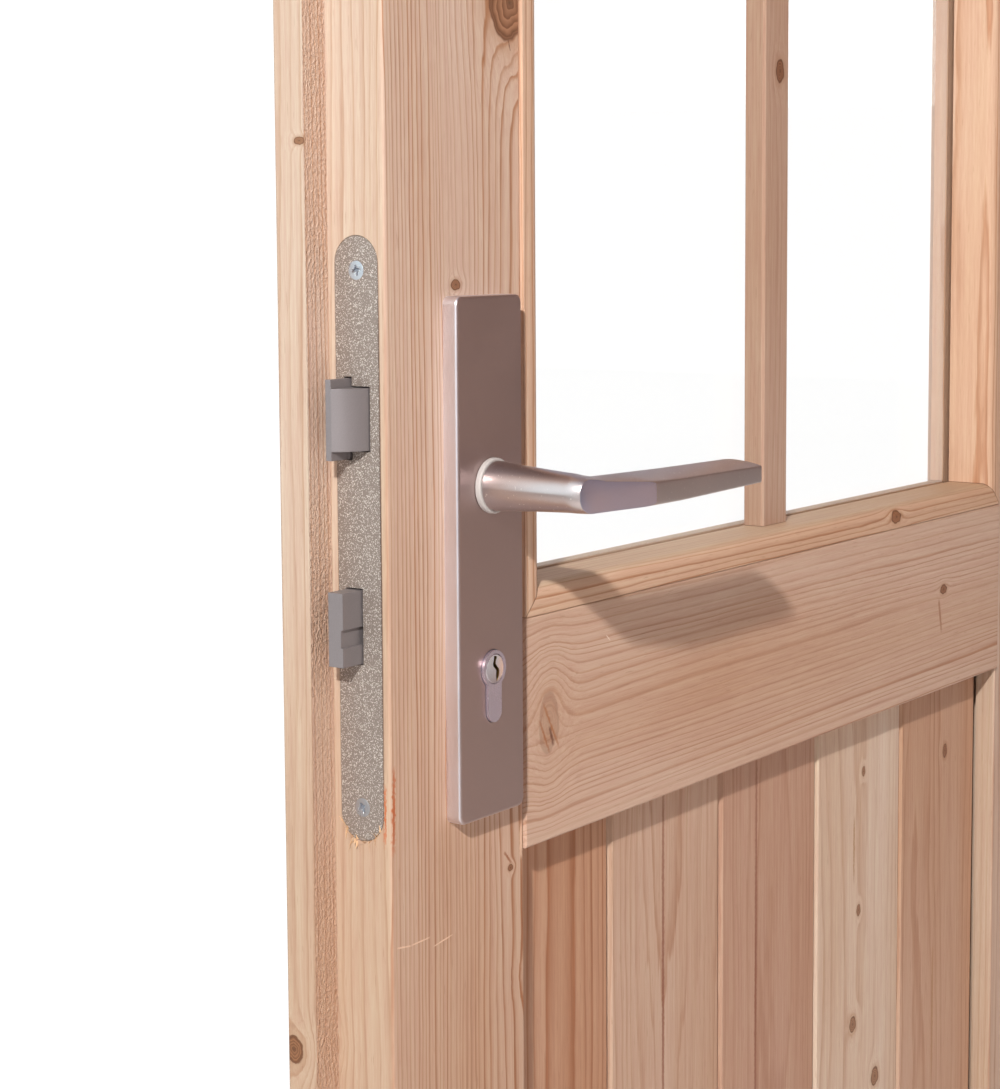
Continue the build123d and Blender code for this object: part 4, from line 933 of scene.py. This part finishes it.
class DOOR_OT_leaf_timber(bpy.types.Operator):
    """Grain, knots and marks of both leaves"""
    bl_idname = "door.leaf_timber"
    bl_label = "Leaf timber"

    def execute(self, context):
        self.active_stiles()
        self.active_rails()
        self.active_boards()
        self.active_mouldings()
        self.passive_leaf()
        return {"FINISHED"}

    def active_stiles(self):
        knots = [knot((STILE_FACE, -724.5, 1221.5), 15.0, 1.15, way=(1, 0.10, 0.1)),
                 *knots_on(STILE_FACE, (-766.2, 1095.3, 3.5, 0.7), (-727.4, 822.3, 2.1, 0.8)),
                 knot((-758.0, LIP_EDGE, 1157.7), 2.2, 0.8, way=(-0.7, 0.7, 0)),
                 knot((-768.8, LIP_EDGE, 756.6), 5.4, 1.2, way=(0.25, 1, 0.1)),
                 *knots_on(STILE_FACE, (-770.0, 380.0, 7.0), (-748.0, 1640.0, 8.0))]
        edge_marks = [
            # Painted shadow: a dark line on the edge face along the forend's side, in the gap
            ((-728.1, MEETING_EDGE, 1108.0), (-728.1, MEETING_EDGE, 860.0), 1.0, FOREND_GAP_SHADE, 0.1),
            ((-727.0, MEETING_EDGE, 880.0), (-727.6, MEETING_EDGE, 850.0), 0.8, RESIN, 0.8),
            ((-757.5, -818.0, 900.0), (-757.5, -818.0, 872.0), 0.9, (0.50, 0.22, 0.10), 0.5)]
        marks = marks_on(
            STILE_FACE, (-813.4, 888.0, -814.4, 846.0, 1.3, RESIN, 1.1),
            (-813.1, 806.0, -802.0, 804.4, 0.5, FRESH, 0.2), (-803.0, 804.6, -788.6, 804.9, 0.5, FRESH, 0.2),
            (-787.1, 799.9, -771.8, 801.9, 0.45, FRESH, 0.2), (-732.6, 831.0, -726.4, 824.0, 0.9, RUST, 0.3),
            (-725.4, 1205.5, -723.6, 1200.0, 0.5, BROWN, 0.3),
            (-718.9, 842.0, -719.1, 824.0, 1.3, FRESH, 0.5), (-717.2, 846.0, -717.0, 818.0, 0.7, BROWN, 0.3))
        dress_timber("active_lock_stile", "Z", (-802, -692), 3.1, ring=2.4, contrast=1.15, wobble=7,
                     tint=(1.0, 1.05, 1.13), foot=(0.87, 0.78, 0.70), knots=knots,
                     marks=marks + edge_marks, milled=True)
        dress_timber("active_hinge_stile", "Z", (-815, -150), 9.1, ring=2.8, tint=(0.91, 0.91, 0.93),
                     knots=knots_on(STILE_FACE, (-130.0, 540.0, 7.0), (-150.0, 1330.0, 6.0)))

    def active_rails(self):
        knots = [knot((RAIL_FACE, -697.9, 885.9), 14.5, 0.55, 0.30, way=(1, 0.25, 0.1)),
                 *knots_on(RAIL_FACE, (-262.4, 893.0, 3.0, 1.6))]
        marks = marks_on(
            RAIL_FACE, (-269.3, 888.0, -264.6, 865.0, 1.7, (0.40, 0.19, 0.11), 0.4),
            (-648.4, 921.0, -644.6, 917.6, 0.4, PALE_CUT, 0.2),
            (-697.6, 884.5, -694.2, 874.0, 1.3, DARK_HEART, 0.5),
            (-703.0, 897.0, -689.0, 871.5, 1.0, (0.42, 0.17, 0.07), 0.5),
            (-706.0, 889.0, -697.0, 870.5, 0.9, (0.40, 0.16, 0.07), 0.5))
        dress_timber("active_mid_rail", "Y", (-800, 985), 5.7, ring=2.9, contrast=0.78, wobble=9, tone=0.1,
                     tint=(0.90, 0.855, 0.85), knots=knots, marks=marks)
        dress_timber("active_top_rail", "Y", (-790, 1700), 10.3,
                     knots=knots_on(RAIL_FACE, (-430.0, 1775.0, 6.5)))
        dress_timber("active_bottom_rail", "Y", (-800, 60), 11.9, ring=3.2,
                     knots=knots_on(RAIL_FACE, (-560.0, 125.0, 7.5), (-250.0, 95.0, 4.0)))

    def active_boards(self):
        boards = (
            dict(pith=(-775, -668), seed=1.3, ring=3.9, contrast=1.25, wobble=4, tone=0.2,
                 tint=(0.83, 0.70, 0.63),
                 marks=marks_on(BOARD_FACE, (-625.2, 832.0, -624.4, 770.0, 1.8, BOARD_SHADE, 0.9))),
            dict(pith=(-900, -560), seed=2.9, ring=1.9, contrast=0.55, wobble=6, tint=(0.87, 0.83, 0.82),
                 marks=marks_on(BOARD_FACE, (-571.8, 845.0, -571.8, 590.0, 1.6, BOARD_LINE, 0.4))),
            dict(pith=(-860, -455), seed=4.4, ring=2.1, contrast=0.55, wobble=7, tint=(0.79, 0.68, 0.65),
                 marks=marks_on(BOARD_FACE, (-472.8, 850.0, -472.8, 540.0, 1.6, BOARD_LINE, 0.4))),
            dict(pith=(-840, -352), seed=6.2, ring=2.6, contrast=0.7, wobble=9, tone=0.1,
                 tint=(1.06, 1.17, 1.25),
                 knots=knots_on(BOARD_FACE, (-346.4, 704.4, 2.6), (-352.9, 634.3, 4.2, 1.2),
                                (-322.5, 592.3, 5.0, 1.2), (-341.1, 789.8, 2.2)),
                 marks=marks_on(BOARD_FACE, (-352.9, 765.0, -352.9, 722.0, 1.3, (0.46, 0.25, 0.13), 0.5))),
            dict(pith=(-850, -260), seed=8.5, ring=2.6, contrast=0.7, wobble=8, tone=0.15,
                 tint=(0.86, 0.77, 0.73),
                 knots=knots_on(BOARD_FACE, (-225.7, 780.6, 3.2), (-179.4, 623.5, 3.0)),
                 marks=marks_on(BOARD_FACE, (-240.6, 660.0, -240.6, 560.0, 1.6, TAN_LINE, 0.6))),
        )
        for number, looks in enumerate(boards, 1):
            dress_timber(f"active_board_{number}", "Z", **looks)

    def active_mouldings(self):
        opening = (1, (-716.5, GLASS_LOW), (-178.5, GLASS_HIGH), (-700, -730))
        beads = timber("beads_wood", "Y", (-757, 968), 12.7, ring=2.6, contrast=0.95,
                       tint=(0.98, 0.92, 0.86), opening=opening,
                       marks=marks_on(RAIL_FACE, (-683.6, 950.6, -682.0, 948.2, 0.7, BEAD_NICK, 0.4)),
                       knots=knots_on(RAIL_FACE, (-330.0, 946.0, 4.0, 1.6)))
        dress(beads, "active_inside_beads", "active_outside_beads")
        dress_timber("active_muntin_cross", "Y", (-790, 1290), 14.1, ring=2.6)
        # Painted shade: the muntin's side faces are darkened by its edge colour
        dress_timber("active_muntin_upright", "Z", (-790, -478), 13.4, ring=2.4, contrast=0.45,
                     tint=(0.78, 0.73, 0.73), edge=(0.72, 0.70, 0.66),
                     knots=knots_on(BAR_FACE, (-444.3, 1206.8, 4.6)))

    def passive_leaf(self):
        inner, outer = SHUT_STILE
        for name, x, seed in (("meeting_stile", 60, 21.1), ("hinge_stile", 690, 22.3)):
            dress_timber(f"passive_{name}", "Z", (x - 30, 60), seed, ring=2.7, edge_axis=0,
                         knots=shut_knots(((x + 12, inner, 620), 6.5), ((x - 20, inner, 1430), 8.0),
                                          ((x + 16, outer, 1180), 7.0)))
        for name, z, seed in (("top_rail", 1800, 23.7), ("mid_rail", 860, 24.1), ("bottom_rail", 70, 25.9)):
            dress_timber(f"passive_{name}", "X", (60, z - 25), seed,
                         knots=shut_knots(((300 + seed * 9, SHUT_RAIL, z + 22), 6.0)))
        inner, outer = SHUT_BOARD
        for number in range(5):
            x = FIRST_BOARD + BOARD_STEP * number
            dress_timber(f"passive_board_{number + 1}", "Z", (x - 30, 80), 30.0 + number * 1.7,
                         ring=2.2 + 0.35 * number, contrast=0.6, edge_axis=0, tone=0.05 * number,
                         knots=shut_knots(((x + 15 - 9 * number, inner, 300 + 95 * number), 4.2),
                                          ((x - 12 + 7 * number, outer, 690 - 110 * number), 3.4)))
        opening = (0, (102.0, GLASS_LOW), (640.0, GLASS_HIGH), (80, 20))
        dress(timber("passive_beads_wood", "X", (10, 968), 41.0, ring=2.6, opening=opening),
              "passive_inside_beads", "passive_outside_beads")
        dress_timber("passive_muntin_cross", "X", (20, 1290), 43.0, ring=2.6)
        dress_timber("passive_muntin_upright", "Z", (340, 20), 42.0, ring=2.6, edge_axis=0)


class DOOR_OT_frame_timber(bpy.types.Operator):
    """Grain and knots of the frame"""
    bl_idname = "door.frame_timber"
    bl_label = "Frame timber"

    def execute(self, context):
        inner, outer = FRAME_FACES
        for name, side, seed in (("frame_jamb_active", -1, 51.0), ("frame_jamb_passive", 1, 52.6)):
            x = side * JAMB_MIDDLE
            dress_timber(name, "Z", (x * 0.97, 70), seed, ring=2.8, edge_axis=0, knots=[
                *shut_knots(((x, outer, 700), 7.5)), knot((x - 8, inner, 1240), 8.5, way=(0, 1, 0.1)),
                knot((side * JAMB_REVEAL, 6, 1010), 6.5)])
        dress_timber("frame_head", "X", (60, 1820), 53.3, knots=[
            *shut_knots(((-250, outer, 1862), 7.0), ((410, inner, 1850), 8.0)),
            knot((-520, 5, 1829), 6.0, way=UPRIGHT)])
        dress_timber("threshold", "X", (40, -60), 54.8, ring=2.8, contrast=0.85, knots=[
            knot((-300, 12, 40), 7.0, way=UPRIGHT), *shut_knots(((190, inner, 18), 6.0))])
        return {"FINISHED"}


class DOOR_OT_glass(bpy.types.Operator):
    """Panes of both leaves"""
    bl_idname = "door.glass"
    bl_label = "Glass"

    def execute(self, context):
        dress(clear_glass(), "active_glass_pane", "passive_glass_pane")
        return {"FINISHED"}


class DOOR_OT_levers(bpy.types.Operator):
    """Satin levers with their cone necks, cut-faced grips and white bushes"""
    bl_idname = "door.levers"
    bl_label = "Levers"

    def execute(self, context):
        satin = metal("satin_lever", tuple(context.scene.door_hardware.lever), 0.33, grain_scale=3.0,
                      speck=0.8, speck_scale=1.1, rare=0.77, edge=0.0003)
        # Painted reflection: the cut face is the same satin metal, coloured blue-violet for what it mirrors
        cut = metal("cut_lever_painted_reflection", (0.49, 0.51, 0.70), 0.30, grain_scale=3.0, edge=0.0003)
        for side in ("inside", "outside"):
            skin = finish_piece(lever_mesh(side == "outside"), f"{side}_lever_skin", satin, "lever_set",
                                "lever_metal", f"{side}_lever")
            skin.data.materials.append(cut)
        dress(plastic("white_bush", (0.57, 0.54, 0.53), 0.42), "lever_collars")
        return {"FINISHED"}


class DOOR_OT_lock(bpy.types.Operator):
    """Long plates, forend, bolts and the cylinder with its crooked keyway"""
    bl_idname = "door.lock"
    bl_label = "Lock"

    def execute(self, context):
        settings = context.scene.door_hardware
        # The plates' side faces carry a painted bluish-white reflection
        plate = metal("satin_plate", tuple(settings.plate), 0.40, grain_scale=3.2, side=(0.84, 0.84, 0.92))
        dress(plate, "inside_plate", "outside_plate")
        paint = metal("sparkle_paint", tuple(settings.forend), 0.42, speck=0.62, speck_scale=2.1,
                      rare=0.62, metallic=0.3)
        dress(paint, "lock_forend", "strike_plate")
        dress(metal("grey_bolt", tuple(settings.bolt), 0.42, metallic=0.4), "latch", "deadbolt")
        dress(metal("nickel_body", (0.62, 0.535, 0.62), 0.27, metallic=0.8, edge=0.0003), "cylinder_body")
        nickel = metal("nickel", (0.95, 0.92, 1.0), 0.26, dish=((PLUG_ENDS[0], *PLUG_CENTRE), 0.012),
                       edge=0.0004)
        plug = finish_piece(plug_mesh(), "plug_core", nickel, "cylinder_plug", "cylinder_nickel",
                            "cylinder_plug")
        plug.data.materials.append(metal("keyway_brass", (0.40, 0.24, 0.09), 0.35))
        finish_piece(splinter_mesh(random.Random(7)), "forend_splinters", splinter_wood(), "active_leaf",
                     "spruce_leaf")
        return {"FINISHED"}


class DOOR_OT_fittings(bpy.types.Operator):
    """Hinges, slide bolts, guides and the cross-recess screws"""
    bl_idname = "door.fittings"
    bl_label = "Fittings"

    def execute(self, context):
        zinc = metal("zinc", (0.62, 0.64, 0.68), 0.30, grain_scale=1.2)
        dress(zinc, "lock_case", "lock_follower", "lever_spindle", "bolt_keepers", "slide_guides",
              "slide_bolt_top", "slide_bolt_bottom", "hinge_posts_active", "hinge_posts_passive",
              "active_hinge_knuckles", "passive_hinge_knuckles")
        for name, node, body, out in (("forend_screws", "active_edge_screws", "active_leaf", (0, -1, 0)),
                                      ("strike_screws", "passive_edge_screws", "passive_leaf", (-1, 0, 0)),
                                      ("through_screws", "plate_screws", "active_leaf", (-1, 0, 0)),
                                      ("head_screws", "frame_screws", "frame", (0, 0, 1))):
            cross_screws(name, node, body, out, zinc)
        return {"FINISHED"}


FLOOR_HALF = 14
FLOOR_GLOW = 1.12
LAMP_COLOR = (1.0, 0.97, 0.92)
FILL_COLOR = (1.0, 0.97, 0.93)
SOFT_COLOR = (1.0, 0.89, 0.84, 1)
WHITE = (1, 1, 1, 1)
WHITE_STRENGTH = 1.15
ROOM_STRENGTH = 1.5
FLOOR_FADE = (900.0, 1700.0)
ROOM_WAY = (-0.8, -0.6, 0.0)
ROOM_BROWN = (0.175, 0.125, 0.112)
ROOM = [(0.0, ROOM_BROWN), (0.32, ROOM_BROWN), (0.50, (0.18, 0.17, 0.24)), (0.66, (0.55, 0.58, 0.62)),
        (0.82, (0.84, 0.96, 1.0))]


class DOOR_OT_stage(bpy.types.Operator):
    """White floor and surround, studio lights and the camera"""
    bl_idname = "door.stage"
    bl_label = "Stage"

    def execute(self, context):
        settings = context.scene.door_stage
        self.floor()
        self.surround(context, settings.surround)
        self.area("key", KEY_PLACE, KEY_SIZE, settings.key_power, LAMP_COLOR)
        fill = self.area("fill", FILL_PLACE, FILL_SIZE, settings.fill_power, FILL_COLOR)
        fill.visible_glossy = False
        context.scene.camera = self.camera(settings)
        context.scene.view_settings.view_transform = "Standard"
        return {"FINISHED"}

    def camera(self, settings):
        """The camera at its place, turned as the settings say."""
        camera = bpy.data.cameras.new("camera")
        camera.lens = settings.lens
        camera.sensor_width = SENSOR_WIDTH
        camera.shift_y = CAMERA_SHIFT
        holder = add_object("camera", camera)
        aim = (Matrix.Rotation(settings.camera_turn, 4, "Z")
               @ Matrix.Rotation(math.radians(90) - settings.pitch, 4, "X")
               @ Matrix.Rotation(settings.roll, 4, "Z"))
        holder.matrix_world = Matrix.Translation(CAMERA_PLACE) @ aim
        return holder

    def floor(self):
        """White floor that shows the door's shadow near its foot and fades into the white beyond."""
        mesh = bpy.data.meshes.new("floor")
        corners = [(x * FLOOR_HALF, y * FLOOR_HALF, 0) for x, y in ((-1, -1), (1, -1), (1, 1), (-1, 1))]
        mesh.from_pydata(corners, [], [(0, 1, 2, 3)])
        floor = add_object("floor", mesh)
        material, graph, shader = new_material("floor_white")
        place = graph.place_mm()
        speck = graph.noise(place, 0.02)
        graph.set(shader, Base_Color=graph.mix(speck, (0.88, 0.88, 0.88), (0.91, 0.91, 0.91)),
                  Roughness=0.9, Specular_IOR_Level=0.0)
        far = graph.span(graph.vector("LENGTH", place), *FLOOR_FADE, 0.6, 1.0, smooth=True)
        glow = graph.node("ShaderNodeEmission", {0: WHITE, 1: FLOOR_GLOW})
        blend = graph.blend(graph.times(graph.seen(), far), shader, glow)
        graph.put(material.node_tree.nodes["Material Output"].inputs[0], blend.outputs[0])
        mesh.materials.append(material)
        return floor

    def surround(self, context, strength):
        """White world, soft light, and a room that metal mirrors: brown inside, white outside."""
        world = bpy.data.worlds.new("studio")
        context.scene.world = world
        world.use_nodes = True
        graph = Graph(world.node_tree)
        way = graph.node("ShaderNodeTexCoord").outputs["Generated"]
        outward = graph.span(graph.vector("DOT_PRODUCT", way, ROOM_WAY), -1.0, 1.0)
        soft = graph.node("ShaderNodeBackground", {0: SOFT_COLOR, 1: strength})
        mirrored = graph.node("ShaderNodeBackground", {0: graph.ramp(outward, ROOM), 1: ROOM_STRENGTH})
        white = graph.node("ShaderNodeBackground", {0: WHITE, 1: WHITE_STRENGTH})
        glossy = graph.node("ShaderNodeLightPath").outputs["Is Glossy Ray"]
        blend = graph.blend(graph.seen(), graph.blend(glossy, soft, mirrored), white)
        graph.put(world.node_tree.nodes["World Output"].inputs[0], blend.outputs[0])

    def area(self, name, place, size, power, color):
        """A soft square light aimed at the lever."""
        light = bpy.data.lights.new(name, "AREA")
        light.shape = "SQUARE"
        light.size = size
        light.energy = power
        light.color = color
        holder = add_object(name, light)
        holder.location = place
        holder.rotation_euler = (SPINDLE - place).to_track_quat("-Z", "Y").to_euler()
        return holder


STEPS = (DOOR_OT_leaf_timber, DOOR_OT_frame_timber, DOOR_OT_glass, DOOR_OT_levers, DOOR_OT_lock,
         DOOR_OT_fittings, DOOR_OT_stage)


class DOOR_PT_panel(bpy.types.Panel):
    """Colours, lights, camera and steps of the door"""
    bl_label = "Door"
    bl_idname = "DOOR_PT_panel"
    bl_space_type = "VIEW_3D"
    bl_region_type = "UI"
    bl_category = "Door"

    def draw(self, context):
        for group in (context.scene.door_timber, context.scene.door_hardware, context.scene.door_stage):
            box = self.layout.box()
            for key in group.__annotations__:
                box.prop(group, key)
        for step in STEPS:
            self.layout.operator(step.bl_idname)


CLASSES = (DoorTimber, DoorHardware, DoorStage, *STEPS, DOOR_PT_panel)


def register():
    for item in CLASSES:
        bpy.utils.register_class(item)
    bpy.types.Scene.door_timber = PointerProperty(type=DoorTimber)
    bpy.types.Scene.door_hardware = PointerProperty(type=DoorHardware)
    bpy.types.Scene.door_stage = PointerProperty(type=DoorStage)


def unregister():
    del bpy.types.Scene.door_stage
    del bpy.types.Scene.door_hardware
    del bpy.types.Scene.door_timber
    for item in reversed(CLASSES):
        bpy.utils.unregister_class(item)


def main():
    """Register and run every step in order."""
    register()
    bpy.ops.door.leaf_timber()
    bpy.ops.door.frame_timber()
    bpy.ops.door.glass()
    bpy.ops.door.levers()
    bpy.ops.door.lock()
    bpy.ops.door.fittings()
    bpy.ops.door.stage()


if __name__ == "__main__":
    main()
